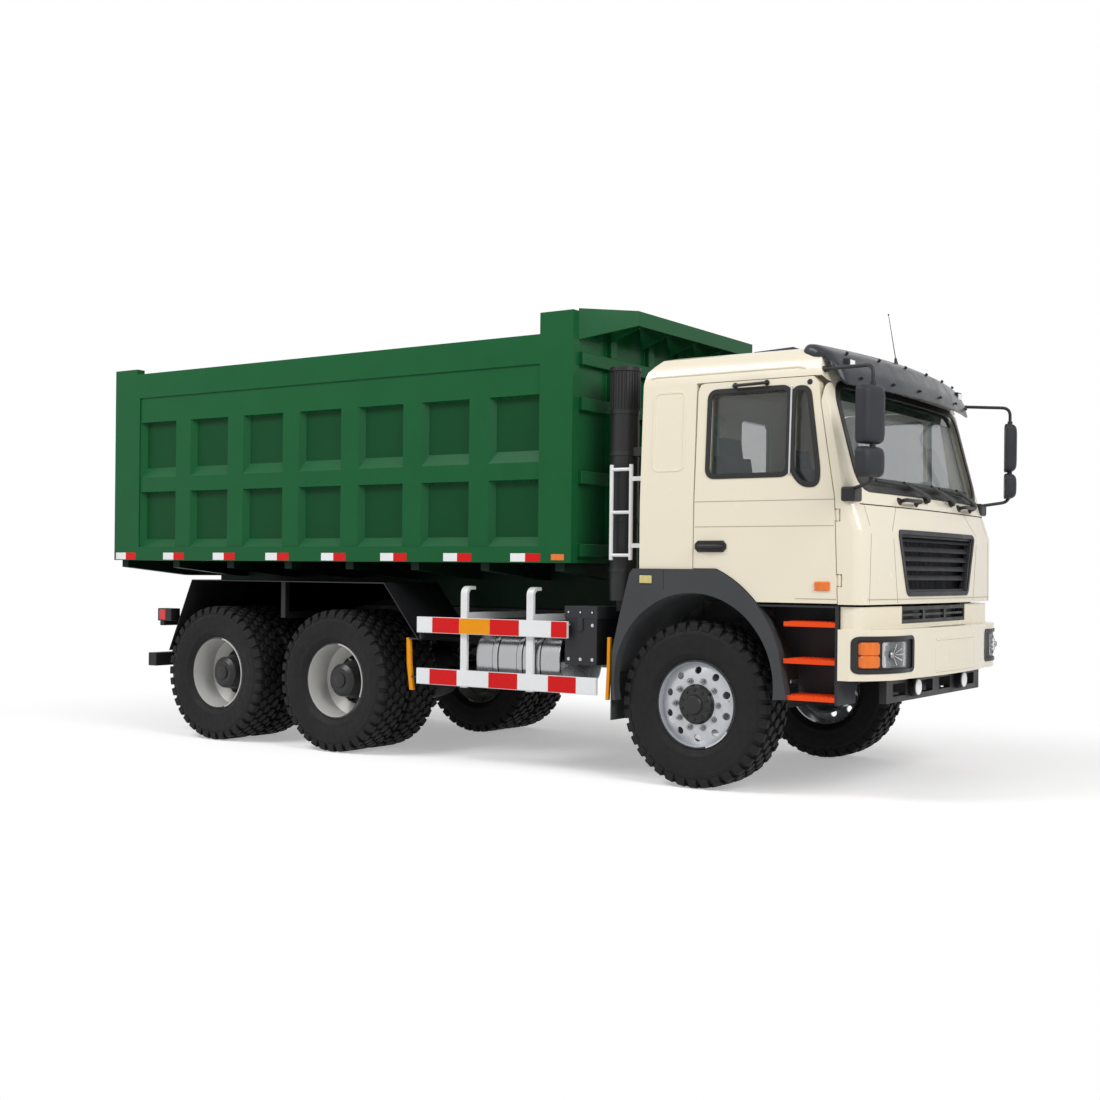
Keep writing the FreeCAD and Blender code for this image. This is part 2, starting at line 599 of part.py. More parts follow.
def rear_bar():
    x0 = FRAME_X0 - 40.0
    half = CAB_HALF_WIDTH - 45
    bar = box(x0, x0 + 100, -half, half, FRAME_Z0 - 284, FRAME_Z0 - 170)
    parts = [bar]
    for side in (-1, 1):
        y0, y1 = sorted((side * RAIL_INNER_Y, side * FRAME_HALF_WIDTH))
        parts.append(box(x0 + 40, x0 + 100, y0, y1, FRAME_Z0 - 170, FRAME_Z0))
        y0, y1 = sorted((side * FRAME_HALF_WIDTH, side * (CAB_HALF_WIDTH + 5)))
        parts.append(box(LAMP_X0, LAMP_X0 + 50, y0, y1, LAMP_Z0 - 40, LAMP_Z0))
    return fuse(parts)


LAMP_X0 = AXLE_3_X - 682.0
LAMP_Z0 = FRAME_Z0 + 114.0


def bumper_outline(inset):
    corner_x = NOSE_X - 252.0 - inset
    bow_x = NOSE_X - 52.0 - inset
    side = BUMPER_HALF_WIDTH - inset
    rear_x = NOSE_X - 329.0
    points = [V(rear_x, side, 0), V(corner_x, side - 8, 0), V(bow_x, BUMPER_BOW_Y - inset * 0.3, 0)]
    line_1 = Part.LineSegment(points[0], points[1]).toShape()
    knee = V((corner_x + bow_x) / 2 + 48, (side + BUMPER_BOW_Y) / 2 + 62, 0)
    arc_1 = Part.Arc(points[1], knee, points[2]).toShape()
    arc_2 = Part.Arc(points[2], V(NOSE_X - inset, 0, 0), V(points[2].x, -points[2].y, 0)).toShape()
    arc_3 = Part.Arc(V(points[2].x, -points[2].y, 0), V(knee.x, -knee.y, 0),
                     V(points[1].x, -points[1].y, 0)).toShape()
    line_2 = Part.LineSegment(V(points[1].x, -points[1].y, 0), V(rear_x, -side, 0)).toShape()
    back = Part.LineSegment(V(rear_x, -side, 0), V(rear_x, side, 0)).toShape()
    return Part.Wire([line_1, arc_1, arc_2, arc_3, line_2, back])


BUMPER_Z0 = FRAME_Z0 - 90.0
BUMPER_Z1 = FRAME_Z1 - 50.0
BUMPER_WALL = 60.0
BUMPER_HALF_WIDTH = CAB_HALF_WIDTH + 15.0
BUMPER_BOW_Y = BUMPER_HALF_WIDTH - 490.0
INTAKE_HALF = 600.0
HEADLAMP_Y0 = CAB_HALF_WIDTH - 525.0
HEADLAMP_Y1 = CAB_HALF_WIDTH - 10.0
HEADLAMP_Z0 = FRAME_Z0 - 34.0
HEADLAMP_Z1 = FRAME_Z0 + 176.0


def bumper_band(inset_out, inset_in, z0, z1):
    outer = Part.Face(bumper_outline(inset_out)).extrude(V(0, 0, z1 - z0))
    inner = Part.Face(bumper_outline(inset_in)).extrude(V(0, 0, z1 - z0))
    band = outer.cut(inner)
    band.translate(V(0, 0, z0))
    return band


def headlamp_space(gap):
    y0, y1 = HEADLAMP_Y0 + gap, HEADLAMP_Y1 - gap
    z0, z1 = HEADLAMP_Z0 + gap, HEADLAMP_Z1 - gap
    return box(NOSE_X - 260, NOSE_X + 20, y0, y1, z0, z1)


def front_bumper():
    body = bumper_band(0, BUMPER_WALL, BUMPER_Z0, BUMPER_Z1)
    shelf = Part.Face(bumper_outline(0)).extrude(V(0, 0, 20))
    shelf.translate(V(0, 0, BUMPER_Z1 - 20))
    shelf = shelf.cut(raked(60, BUMPER_Z0, BUMPER_Z1 + 10, CAB_FACE_X, CAB_FACE_X))
    neck = raked_band(25, 60, BUMPER_Z1 - 20, CAB_Z0 - 15, CAB_FACE_X, CAB_FACE_X)
    neck = neck.common(box(NOSE_X - 329, NOSE_X, -CAB_HALF_WIDTH, CAB_HALF_WIDTH, BUMPER_Z0, CAB_Z0))
    neck = neck.cut(box(NOSE_X - 300, NOSE_X, -INTAKE_HALF, INTAKE_HALF, BUMPER_Z1 + 25, CAB_Z0))
    band = fuse([body, shelf, neck])
    for space in both_sides(headlamp_space(0)):
        band = band.cut(space)
    parts = [band]
    for side in (-1, 1):
        y0, y1 = sorted((side * RAIL_INNER_Y, side * FRAME_HALF_WIDTH))
        parts.append(box(FRAME_X1, NOSE_X - BUMPER_WALL - 5, y0, y1, FRAME_Z0 + 60, FRAME_Z0 + 200))
    return fuse(parts)


def front_valance():
    z1 = BUMPER_Z0 - PIN_GAP
    bar = box(NOSE_X - 200, NOSE_X - 150, -880, 880, z1 - 160, z1)
    bar = bar.cut(fuse([box(NOSE_X - 210, NOSE_X - 140, y - 110, y + 110, z1 - 120, z1 - 40)
                        for y in (-660, -170, 170, 660)]))
    parts = [bar]
    for side in (-1, 1):
        y0, y1 = sorted((side * RAIL_INNER_Y, side * FRAME_HALF_WIDTH))
        parts.append(box(FRAME_X1 - 60, NOSE_X - 200, y0, y1, z1 - 120, z1 - 40))
        parts.append(box(FRAME_X1 - 60, FRAME_X1, y0, y1, z1 - 120, FRAME_Z0))
    return fuse(parts)


def lamps():
    band = bumper_band(6, BUMPER_WALL - 10, BUMPER_Z0, BUMPER_Z1)
    solids = [band.common(space) for space in both_sides(headlamp_space(PIN_GAP))]
    y0, y1 = CAB_HALF_WIDTH - 95, CAB_HALF_WIDTH + 5
    tail = box(LAMP_X0 - 30, LAMP_X0 + 140, y0, y1, LAMP_Z0, LAMP_Z0 + 108)
    return solids + both_sides(tail)


STEP_X0 = AXLE_1_X + 690.0
STEP_X1 = NOSE_X - 335.0
STEP_Y1 = CAB_HALF_WIDTH - 3.0
STEP_Y0 = CAB_HALF_WIDTH - 265.0
STEP_HEIGHTS = (CAB_Z0 - 115.0, CAB_Z0 - 352.0, CAB_Z0 - 585.0)


def step_housing():
    low = STEP_HEIGHTS[2] - 50
    back = box(AXLE_1_X + 500, STEP_X1, STEP_Y0 - 20, STEP_Y0, low, CAB_Z0 - 10)
    front = box(STEP_X1 - 20, STEP_X1, STEP_Y0, STEP_Y1, low, CAB_Z0 - 10)
    sill = box(AXLE_1_X + 500, STEP_X1, STEP_Y0, STEP_Y1, CAB_Z0 - 22, CAB_Z0 - 10)
    arm = box(STEP_X1 - 200, STEP_X1 - 120, FRAME_HALF_WIDTH, STEP_Y0 - 20, FRAME_Z0 + 80, FRAME_Z0 + 160)
    arch = cylinder_y(ARCH_X, ARCH_Z, 0, 2000, ARCH_RADIUS + ARCH_LINER + PIN_GAP)
    panels = fuse([back, front, sill]).cut(arch).cut(flare_space(PIN_GAP))
    return fuse([panels, arm])


def step_treads():
    treads = []
    for z in STEP_HEIGHTS:
        tread = box(STEP_X0, STEP_X1 - 20 - PIN_GAP, STEP_Y0 + PIN_GAP, STEP_Y1, z - 30, z)
        treads.append(tread.cut(flare_space(PIN_GAP)))
    return treads


def ring_sector(radius_in, radius_out, y0, y1, angle_0, angle_1):
    outer = Part.makeCylinder(radius_out, y1 - y0, V(0, 0, 0), V(0, 1, 0))
    inner = Part.makeCylinder(radius_in, y1 - y0, V(0, 0, 0), V(0, 1, 0))
    ring = outer.cut(inner)
    steps = 6
    span = 3 * radius_out
    points = [(0.0, 0.0)]
    for i in range(steps + 1):
        angle = math.radians(angle_0 + (angle_1 - angle_0) * i / steps)
        points.append((span * math.cos(angle), span * math.sin(angle)))
    sector = ring.common(prism_y(points, 0, y1 - y0))
    sector.translate(V(ARCH_X, y0, ARCH_Z))
    return sector


def flare_outline(grow):
    x, z = AXLE_1_X, AXLE_Z
    rear = [V(x - 606, 0, z + 2), V(x - 606, 0, z + 337), V(x - 545, 0, z + 597), V(x - 470, 0, z + 877),
            V(x - 440, 0, z + 907), V(x + 195, 0, z + 907)]
    front = [V(x + 661, 0, z + 394), V(x + 698, 0, z + 204), V(x + 721, 0, z + 78)]
    edges = [Part.LineSegment(a, b).toShape() for a, b in zip(rear, rear[1:])]
    edges.append(Part.Arc(rear[-1], V(x + 470, 0, z + 717), front[0]).toShape())
    edges.extend(Part.LineSegment(a, b).toShape() for a, b in zip(front, front[1:]))
    edges.append(Part.LineSegment(front[-1], rear[0]).toShape())
    wire = Part.Wire(edges)
    return wire.makeOffset2D(grow, 2) if grow else wire


def flare_space(gap):
    y0 = FLARE_HALF_WIDTH - FLARE_DEPTH
    face = Part.Face(flare_outline(gap))
    face.translate(V(0, y0 - gap, 0))
    liner = cylinder_y(ARCH_X, ARCH_Z, y0 - 365, y0 + 10 + gap, ARCH_RADIUS + ARCH_LINER + gap)
    return face.extrude(V(0, FLARE_DEPTH + 200, 0)).fuse(liner)


def front_fender():
    y0 = FLARE_HALF_WIDTH - FLARE_DEPTH
    liner_out = ARCH_RADIUS + ARCH_LINER
    liner = ring_sector(ARCH_RADIUS, liner_out, 560, y0 + 10, 8, 172)
    mouth = cylinder_y(ARCH_X, AXLE_Z + FLARE_MOUTH_RISE, 0, 2000, FLARE_MOUTH_RADIUS)
    flare = Part.Face(flare_outline(0))
    flare.translate(V(0, y0, 0))
    flare = flare.extrude(V(0, FLARE_DEPTH, 0)).cut(mouth)
    flare = flare.cut(box(ARCH_X - 550, ARCH_X + 550, 0, 2000, 0, AXLE_Z + 300))
    flap = box(ARCH_X - 672, ARCH_X - 660, y0 - 285, y0 + 15, 420, FRAME_Z0 + 110)
    stay = box(ARCH_X - 672, ARCH_X - 590, FRAME_HALF_WIDTH, 1100, FRAME_Z0 + 60, FRAME_Z0 + 110)
    return fuse([liner, flare, flap, stay])


GLASS_SLOPE = 205.0 / 750.0
GLASS_SETBACK = 90.0
GLASS_X = CAB_FACE_X - GLASS_SETBACK
BROW_Z = BELT_Z - 270.0


def glass_x(z):
    return GLASS_X - GLASS_SLOPE * (z - BELT_Z)


def raked(inset, z0, z1, x0, x1):
    centre = x0 - BOW_RADIUS
    corner_y = CAB_HALF_WIDTH - CORNER_RADIUS
    corner_x = centre + math.sqrt((BOW_RADIUS - CORNER_RADIUS) ** 2 - corner_y ** 2)
    side = CAB_HALF_WIDTH - inset
    back = CAB_REAR_X - 400
    radius = CORNER_RADIUS - inset
    turn = math.atan2(corner_y, corner_x - centre)
    middle = (turn + math.pi / 2) / 2
    ring = [V(corner_x, side, z0),
            V(corner_x + radius * math.cos(middle), corner_y + radius * math.sin(middle), z0),
            V(centre + (BOW_RADIUS - inset) * math.cos(turn), (BOW_RADIUS - inset) * math.sin(turn), z0)]
    other = [V(point.x, -point.y, z0) for point in reversed(ring)]
    edges = [Part.LineSegment(V(back, side, z0), ring[0]).toShape(), Part.Arc(*ring).toShape(),
             Part.Arc(ring[2], V(x0 - inset, 0, z0), other[0]).toShape(), Part.Arc(*other).toShape(),
             Part.LineSegment(other[2], V(back, -side, z0)).toShape(),
             Part.LineSegment(V(back, -side, z0), V(back, side, z0)).toShape()]
    return Part.Face(Part.Wire(edges)).extrude(V(x1 - x0, 0, z1 - z0))


def raked_band(inset_0, inset_1, z0, z1, x0, x1):
    return raked(inset_0, z0, z1, x0, x1).cut(raked(inset_1, z0, z1, x0, x1))


def cab_side_profile(inset):
    roof_z = CAB_Z1 - inset
    top_x = glass_x(roof_z - 60) - inset
    front_x = NOSE_X + 10
    return [(CAB_REAR_X + inset, CAB_Z0 + inset), (front_x, CAB_Z0 + inset), (front_x, roof_z - 110),
            (top_x, roof_z - 60), (top_x - 28, roof_z - 20), (top_x - 95, roof_z),
            (CAB_REAR_X + 165 + inset * 0.6, roof_z), (CAB_REAR_X + 120 + inset * 0.7, roof_z - 14),
            (CAB_REAR_X + 22 + inset, CAB_Z1 - 98 - inset * 0.4),
            (CAB_REAR_X + inset, CAB_Z1 - 184 - inset * 0.4)]


def cab_front_view(inset):
    side = CAB_HALF_WIDTH - inset
    top = CAB_Z1 - inset
    lean = SIDE_LEAN
    seam = ROOF_SEAM_Z
    half = [(side, CAB_Z0), (side, BELT_Z - 60), (side - lean, seam), (side - lean - 6, seam + 60),
            (side - lean - 38, top - 62), (side - lean - 74, top - 20), (side - lean - 150, top)]
    points = half + [(-y, z) for y, z in reversed(half)]
    return prism_x(points, CAB_REAR_X - 10, NOSE_X + 10)


def cab_solid(inset):
    side = prism_y(cab_side_profile(inset), -CAB_HALF_WIDTH - 10, CAB_HALF_WIDTH + 10)
    lower = raked(inset, CAB_Z0 - 10, BROW_Z, CAB_FACE_X, CAB_FACE_X)
    brow = raked(inset, BROW_Z, BELT_Z, CAB_FACE_X, GLASS_X)
    upper = raked(inset, BELT_Z, CAB_Z1 + 10, GLASS_X, glass_x(CAB_Z1 + 10))
    return side.common(fuse([lower, brow, upper])).common(cab_front_view(inset))


def door_profile():
    front_low = DOOR_FRONT_X - DOOR_SEAM
    rear = DOOR_REAR_X + SEAM
    z0, z1 = CAB_Z0 + SEAM, ROOF_SEAM_Z - SEAM
    lean_top = front_low - FRONT_SEAM_RUN
    return [(rear, z0), (front_low, z0), (front_low - LOW_SEAM_RUN, BELT_Z - 60), (lean_top, z1 - 160),
            (lean_top - 10, z1 - 40), (lean_top - 50, z1), (rear + 60, z1), (rear + 30, z1 - 8),
            (rear + 10, z1 - 50)]


def main_window(gap):
    x0, x1 = DOOR_REAR_X + 100 + gap, DOOR_REAR_X + 687 - gap
    z0, z1 = BELT_Z + 95 + gap, ROOF_SEAM_Z - 66 - gap
    return [(x0, z0), (x1, z0), (x1, z1), (x0 + 5, z1)]


def quarter_window(gap):
    x0, x1 = DOOR_REAR_X + 715 + gap, DOOR_REAR_X + 905 - gap
    z0, z1 = BELT_Z + 25 + gap, ROOF_SEAM_Z - 76 - gap
    return [(x0, z0 + 90), (x0 + 80, z0), (x1 - 10, z0), (x1 - 5, z0 + 90), (x1 - 85, z1), (x0, z1)]


def rounded_y(points, radius):
    block = prism_y(points, SIDE_CUT_Y0, SIDE_CUT_Y1)
    return block.makeFillet(radius, [e for e in block.Edges if abs(e.tangentAt(e.FirstParameter).y) > 0.9])


def cab_skin():
    return cab_solid(0).cut(cab_solid(CAB_WALL))


HINGE_X = DOOR_FRONT_X + 12.0
HINGE_Y = CAB_HALF_WIDTH - 14.0
HINGE_LEAN = LOW_SEAM_RUN / (BELT_Z - 60.0 - CAB_Z0)
HINGE_PIN = 6.0
HINGE_BARREL = 12.0
HINGE_HEIGHTS = (CAB_Z0 + 150.0, CAB_Z0 + 560.0)
HINGE_HALF = 35.0


def hinge_x(z):
    return HINGE_X - HINGE_LEAN * (z - CAB_Z0)


def hinge_rod(z0, z1, radius):
    return rod((hinge_x(z0), HINGE_Y, z0), (hinge_x(z1), HINGE_Y, z1), radius)


def door(skin):
    inner = CAB_HALF_WIDTH - CAB_WALL - 1
    wall = prism_x([(inner, 0), (SIDE_CUT_Y1, 0), (SIDE_CUT_Y1, CAB_Z1), (inner - SIDE_LEAN, CAB_Z1),
                    (inner - SIDE_LEAN, ROOF_SEAM_Z), (inner, BELT_Z - 60)], CAB_REAR_X, NOSE_X)
    panel = skin.common(wall).common(prism_y(door_profile(), SIDE_CUT_Y0, SIDE_CUT_Y1)).cut(flare_space(SEAM))
    panel = panel.cut(rounded_y(main_window(0), WINDOW_CORNER))
    panel = panel.cut(rounded_y(quarter_window(0), WINDOW_CORNER))
    knuckles = []
    for z in HINGE_HEIGHTS:
        x = hinge_x(z)
        leaf = box(x - 45, x, HINGE_Y - 4, HINGE_Y + 4, z - HINGE_HALF + 2, z + HINGE_HALF - 2)
        knuckles.append(leaf.fuse(hinge_rod(z - HINGE_HALF, z + HINGE_HALF, HINGE_BARREL)))
    whole = fuse([panel] + knuckles)
    for z in HINGE_HEIGHTS:
        whole = whole.cut(hinge_rod(z - HINGE_HALF - 2, z + HINGE_HALF + 2, HINGE_PIN + PIN_GAP))
    return whole


def door_glass():
    panes = []
    for window in (main_window(PIN_GAP), quarter_window(PIN_GAP)):
        low = CAB_HALF_WIDTH - 45.0
        points = [(low, CAB_Z0), (low + 6, CAB_Z0), (low + 6, BELT_Z - 60), (low - 29, ROOF_SEAM_Z),
                  (low - 35, ROOF_SEAM_Z), (low, BELT_Z - 60)]
        panes.append(prism_x(points, CAB_REAR_X, NOSE_X).common(rounded_y(window, WINDOW_CORNER)))
    return panes


def cab_parts():
    skin = cab_skin()
    roof_space = box(CAB_REAR_X - 10, NOSE_X + 10, -1500, 1500, ROOF_SEAM_Z, CAB_Z1 + 10)
    roof = skin.common(roof_space)
    lower = skin.cut(roof_space)
    front_edge = [(DOOR_FRONT_X, CAB_Z0 - 10), (DOOR_FRONT_X, CAB_Z0),
                  (DOOR_FRONT_X - LOW_SEAM_RUN, BELT_Z - 60),
                  (DOOR_FRONT_X - FRONT_SEAM_RUN, ROOF_SEAM_Z - 165), (DOOR_FRONT_X - 107, ROOF_SEAM_Z - 40),
                  (DOOR_FRONT_X - 140, ROOF_SEAM_Z), (NOSE_X + 10, ROOF_SEAM_Z), (NOSE_X + 10, CAB_Z0 - 10)]
    front = lower.common(prism_y(front_edge, -1500, 1500))
    rear_space = box(CAB_REAR_X - 10, DOOR_REAR_X, -1500, 1500, CAB_FLOOR_Z, ROOF_SEAM_Z)
    body = lower.common(rear_space)
    inner = cab_solid(CAB_WALL).common(box(CAB_REAR_X, DOOR_FRONT_X, -1500, 1500, 0, 4000))
    floor = inner.common(box(CAB_REAR_X, NOSE_X, -1500, 1500, CAB_FLOOR_Z, CAB_FLOOR_Z + CAB_FLOOR_THICKNESS))
    body = fuse([body, floor] + seat_bases()).cut(fuse(rear_windows(0)))
    for space in both_sides(flare_space(PIN_GAP)):
        body = body.cut(space)
    return body, roof, front_opening(front), skin


def rear_windows(gap):
    z0, z1 = BELT_Z + 95 + gap, ROOF_SEAM_Z - 106 - gap
    holes = []
    for side in (-1, 1):
        y0, y1 = sorted((side * (120 + gap), side * (640 - gap)))
        block = box(CAB_REAR_X - 100, CAB_REAR_X + 200, y0, y1, z0, z1)
        holes.append(block.makeFillet(WINDOW_CORNER, [e for e in block.Edges if abs(e.tangentAt(0).x) > 0.9]))
    return holes


def rear_glass():
    pane_x = CAB_REAR_X + 25.0
    slab = box(pane_x, pane_x + 6, -1000, 1000, BELT_Z, CAB_Z1)
    return [slab.common(hole) for hole in rear_windows(PIN_GAP)]


def roof_hatch():
    x0, x1 = AXLE_1_X - 120.0, AXLE_1_X + 330.0
    half = 240.0
    z = CAB_Z1 + PIN_GAP
    foot = [V(x0, -half, z), V(x1, -half, z), V(x1, half, z), V(x0, half, z)]
    lid = [V(x0 + 40, -half + 40, z + 150), V(x1 - 90, -half + 40, z + 165), V(x1 - 90, half - 40, z + 165),
           V(x0 + 40, half - 40, z + 150)]
    curb = box(x0 - 15, x1 + 15, -half - 15, half + 15, z, z + 14)
    return fuse([curb, Part.makeLoft([closed_wire(foot), closed_wire(lid)], True, True)])


WINDSCREEN_HALF = CAB_HALF_WIDTH - 130.0
WINDSCREEN_Z0 = BELT_Z + 5.0
WINDSCREEN_Z1 = ROOF_SEAM_Z - 40.0


def windscreen_space(gap):
    y = WINDSCREEN_HALF - gap
    block = box(DOOR_FRONT_X - 250, NOSE_X, -y, y, WINDSCREEN_Z0 + gap, WINDSCREEN_Z1 - gap)
    return block.makeFillet(SCREEN_CORNER, [e for e in block.Edges if abs(e.tangentAt(0).x) > 0.9])


GRILLE_TOP_HALF = 711.0
GRILLE_LOW_HALF = 570.0
GRILLE_Z0 = CAB_Z0 + 64.0
GRILLE_Z1 = CAB_Z0 + 468.0
GRILLE_ROWS = 6


def grille_space(gap):
    points = [(GRILLE_TOP_HALF - gap, GRILLE_Z1 - gap), (-GRILLE_TOP_HALF + gap, GRILLE_Z1 - gap),
              (-GRILLE_LOW_HALF + gap, GRILLE_Z0 + gap), (GRILLE_LOW_HALF - gap, GRILLE_Z0 + gap)]
    return prism_x(points, CAB_FACE_X - 150, NOSE_X)


def front_opening(front):
    opened = front.cut(windscreen_space(0)).cut(grille_space(0))
    pins = []
    reach = HINGE_HALF + SEAM
    for z in HINGE_HEIGHTS:
        x = hinge_x(z)
        room = HINGE_BARREL + 9
        pocket = box(x - 25, x + room, HINGE_Y - room, HINGE_Y + 100, z - reach, z + reach)
        pin = hinge_rod(z - reach - 20, z + reach + 20, HINGE_PIN)
        for side_pocket in both_sides(pocket):
            opened = opened.cut(side_pocket)
        pins.extend(both_sides(pin))
    return fuse([opened] + pins)


def windscreen():
    z0, z1 = BELT_Z, ROOF_SEAM_Z
    return raked_band(28, 36, z0, z1, glass_x(z0), glass_x(z1)).common(windscreen_space(PIN_GAP))


def grille():
    space = grille_space(PIN_GAP)
    frame_in = grille_space(30)
    face = raked_band(14, 48, GRILLE_Z0 - 10, GRILLE_Z1 + 10, CAB_FACE_X, CAB_FACE_X)
    frame = face.common(space.cut(frame_in))
    slats = []
    pitch = (GRILLE_Z1 - GRILLE_Z0) / (GRILLE_ROWS + 0.4)
    for i in range(GRILLE_ROWS):
        z = GRILLE_Z0 + (i + 0.45) * pitch
        slat = raked_band(18, 32, z, z + 34, CAB_FACE_X, CAB_FACE_X - 30)
        slats.append(slat.common(space))
    upper = fuse([frame] + slats)
    z0, z1 = BUMPER_Z1 + 25 + PIN_GAP, CAB_Z0 - 18
    reach = INTAKE_HALF - PIN_GAP
    lower = box(NOSE_X - 190, NOSE_X - 165, -reach, reach, z0, z1)
    for y in (-400.0, 0.0, 400.0):
        lower = lower.cut(box(NOSE_X - 200, NOSE_X - 100, y - 180, y + 180, z0 + 25, z1 - 25))
    middle = (z0 + z1) / 2
    for y in (-200.0, 200.0):
        lower = lower.fuse(box(NOSE_X - 186, NOSE_X - 170, y - 400, y + 400, middle - 8, middle + 8))
    return [upper, fuse([lower])]


VISOR_HALF = CAB_HALF_WIDTH - 90.0


def sun_visor():
    lip_z = ROOF_SEAM_Z - 62.0
    root_x = CAB_FACE_X - 400.0
    lip_x = CAB_FACE_X - 92.0
    outer = [(root_x, CAB_Z1 - 20), (root_x + 30, CAB_Z1 + 16), (root_x + 90, CAB_Z1 + 12),
             (lip_x - 110, CAB_Z1 - 42), (lip_x - 24, lip_z + 95), (lip_x, lip_z), (lip_x - 22, lip_z),
             (lip_x - 50, lip_z + 85), (lip_x - 130, CAB_Z1 - 85), (root_x, CAB_Z1 - 75)]
    axis = V(CAB_FACE_X - VISOR_BOW, 0, 0)
    half_angle = 15
    face = Part.Face(closed_wire([V(x, 0, z) for x, z in outer]))
    face.rotate(axis, V(0, 0, 1), -half_angle)
    bow = face.revolve(axis, V(0, 0, 1), 2 * half_angle)
    wing = bow.common(box(CAB_REAR_X, NOSE_X, -VISOR_HALF, VISOR_HALF, BELT_Z, CAB_Z1 + 50))
    return wing.cut(cab_solid(0))


def mirror_case(x, y, z0, z1):
    case = box(x - 45, x + 45, y - 100, y + 100, z0, z1)
    return case.makeFillet(18, case.Edges)


def mirror():
    y = CAB_HALF_WIDTH + 115.0
    x = NOSE_X - 75.0
    z0, z1 = BELT_Z + 25, ROOF_SEAM_Z + 19
    main = mirror_case(x, y, z0 + 230, z1 - 122)
    small = mirror_case(x, y, z0 + 25, z0 + 215)
    bar = rod((x, y - 20, z0), (x, y - 20, z1), 12)
    top = rod((x, y - 20, z1), (DOOR_FRONT_X - 190, CAB_HALF_WIDTH - 65, z1 + 20), 12)
    low = rod((x, y - 20, z0), (DOOR_FRONT_X + 40, CAB_HALF_WIDTH - 37, z0 - 40), 12)
    arm = fuse([main, small, bar, top, low, Part.makeSphere(12, V(x, y - 20, z1)),
                Part.makeSphere(12, V(x, y - 20, z0))])
    return arm.cut(cab_solid(0))


def seat_bases():
    bases = []
    z = CAB_FLOOR_Z + CAB_FLOOR_THICKNESS
    for y in (-560.0, 560.0):
        bases.append(box(SEAT_X - 180, SEAT_X + 180, y - 180, y + 180, z, z + SEAT_BASE))
    return bases


SEAT_X = AXLE_1_X + 150.0
SEAT_BASE = 250.0


def seats():
    solids = []
    z = CAB_FLOOR_Z + CAB_FLOOR_THICKNESS + SEAT_BASE
    for y in (-560.0, 560.0):
        cushion = box(SEAT_X - 220, SEAT_X + 290, y - 250, y + 250, z, z + 130)
        back = prism_y([(SEAT_X - 220, z + 100), (SEAT_X - 100, z + 130), (SEAT_X - 180, z + 780),
                        (SEAT_X - 290, z + 780)], y - 240, y + 240)
        solids.append(fuse([cushion, back]))
    return solids


def dashboard():
    x1 = DOOR_FRONT_X + 60.0
    profile = [(x1, BELT_Z - 330), (x1, BELT_Z - 60), (x1 - 60, BELT_Z - 20), (x1 - 210, BELT_Z - 70),
               (x1 - 200, BELT_Z - 330)]
    bench = prism_y(profile, -CAB_HALF_WIDTH + CAB_WALL + 60, CAB_HALF_WIDTH - CAB_WALL - 60)
    foot = box(x1 - 150, x1 - 20, -160, 160, CAB_FLOOR_Z + CAB_FLOOR_THICKNESS, BELT_Z - 330)
    hub = V(x1 - 330, 560, BELT_Z + 10)
    axis = V(-0.5, 0, 0.87)
    column = Part.makeCylinder(25, 306, hub - axis * 300, axis)
    ring = Part.makeCylinder(225, 26, hub, axis).cut(Part.makeCylinder(195, 26, hub, axis))
    spokes = Part.makeBox(400, 40, 16, V(-200, -20, 4))
    spokes.Placement = FreeCAD.Placement(hub, FreeCAD.Rotation(V(0, 0, 1), axis)).multiply(spokes.Placement)
    return fuse([bench, foot, column, ring, spokes]).common(cab_solid(CAB_WALL + PIN_GAP))


STACK_X = AXLE_1_X - 670.0
STACK_Y = 225.0 - CAB_HALF_WIDTH


def intake_stack():
    pipe = cylinder_z(STACK_X, STACK_Y, FRAME_Z1 + 95, CAB_Z1 - 30, 100)
    duct = box(STACK_X - 60, STACK_X + 60, STACK_Y, -FRAME_HALF_WIDTH + 60, FRAME_Z1 + 20, FRAME_Z1 + 140)
    foot = box(STACK_X - 60, STACK_X + 60, -FRAME_HALF_WIDTH, -FRAME_HALF_WIDTH + 60, FRAME_Z1, FRAME_Z1 + 20)
    clamp = box(STACK_X, CAB_REAR_X, STACK_Y - 40, STACK_Y + 40, CAB_Z0 + 1000, CAB_Z0 + 1060)
    return fuse([pipe, duct, foot, clamp])


def side_ladder():
    y = 75.0 - CAB_HALF_WIDTH
    z0, z1 = CAB_Z0 + 273, CAB_Z0 + 933
    x0, x1 = STACK_X - 10, STACK_X + 150
    parts = [cylinder_z(x, y, z0, z1, 14) for x in (x0, x1)]
    for share in (0.05, 0.5, 0.95):
        z = z0 + share * (z1 - z0)
        parts.append(rod((x0, y, z), (x1, y, z), 12))
    for z in (z0 + 100, z1 - 100):
        parts.append(box(x1 - 12, CAB_REAR_X, y - 8, y + 8, z - 15, z + 15))
    return fuse(parts)


BAY_X0 = BED_X0 + PILLAR_LENGTH
BAY_X1 = BED_X1 - POST_LENGTH
BAY_LENGTH = (BAY_X1 - BAY_X0 - (BAY_COUNT - 1) * RIB_WIDTH) / BAY_COUNT
MID_RAIL_Z0 = FLOOR_Z0 + 596.0
MID_RAIL_Z1 = FLOOR_Z0 + 719.0
LOWER_TOP_RAIL_Z0 = SIDE_Z1 - 425.0
UPPER_TOP_RAIL_Z0 = SIDE_Z1 - 211.0
RAIL_STEP = 12.0


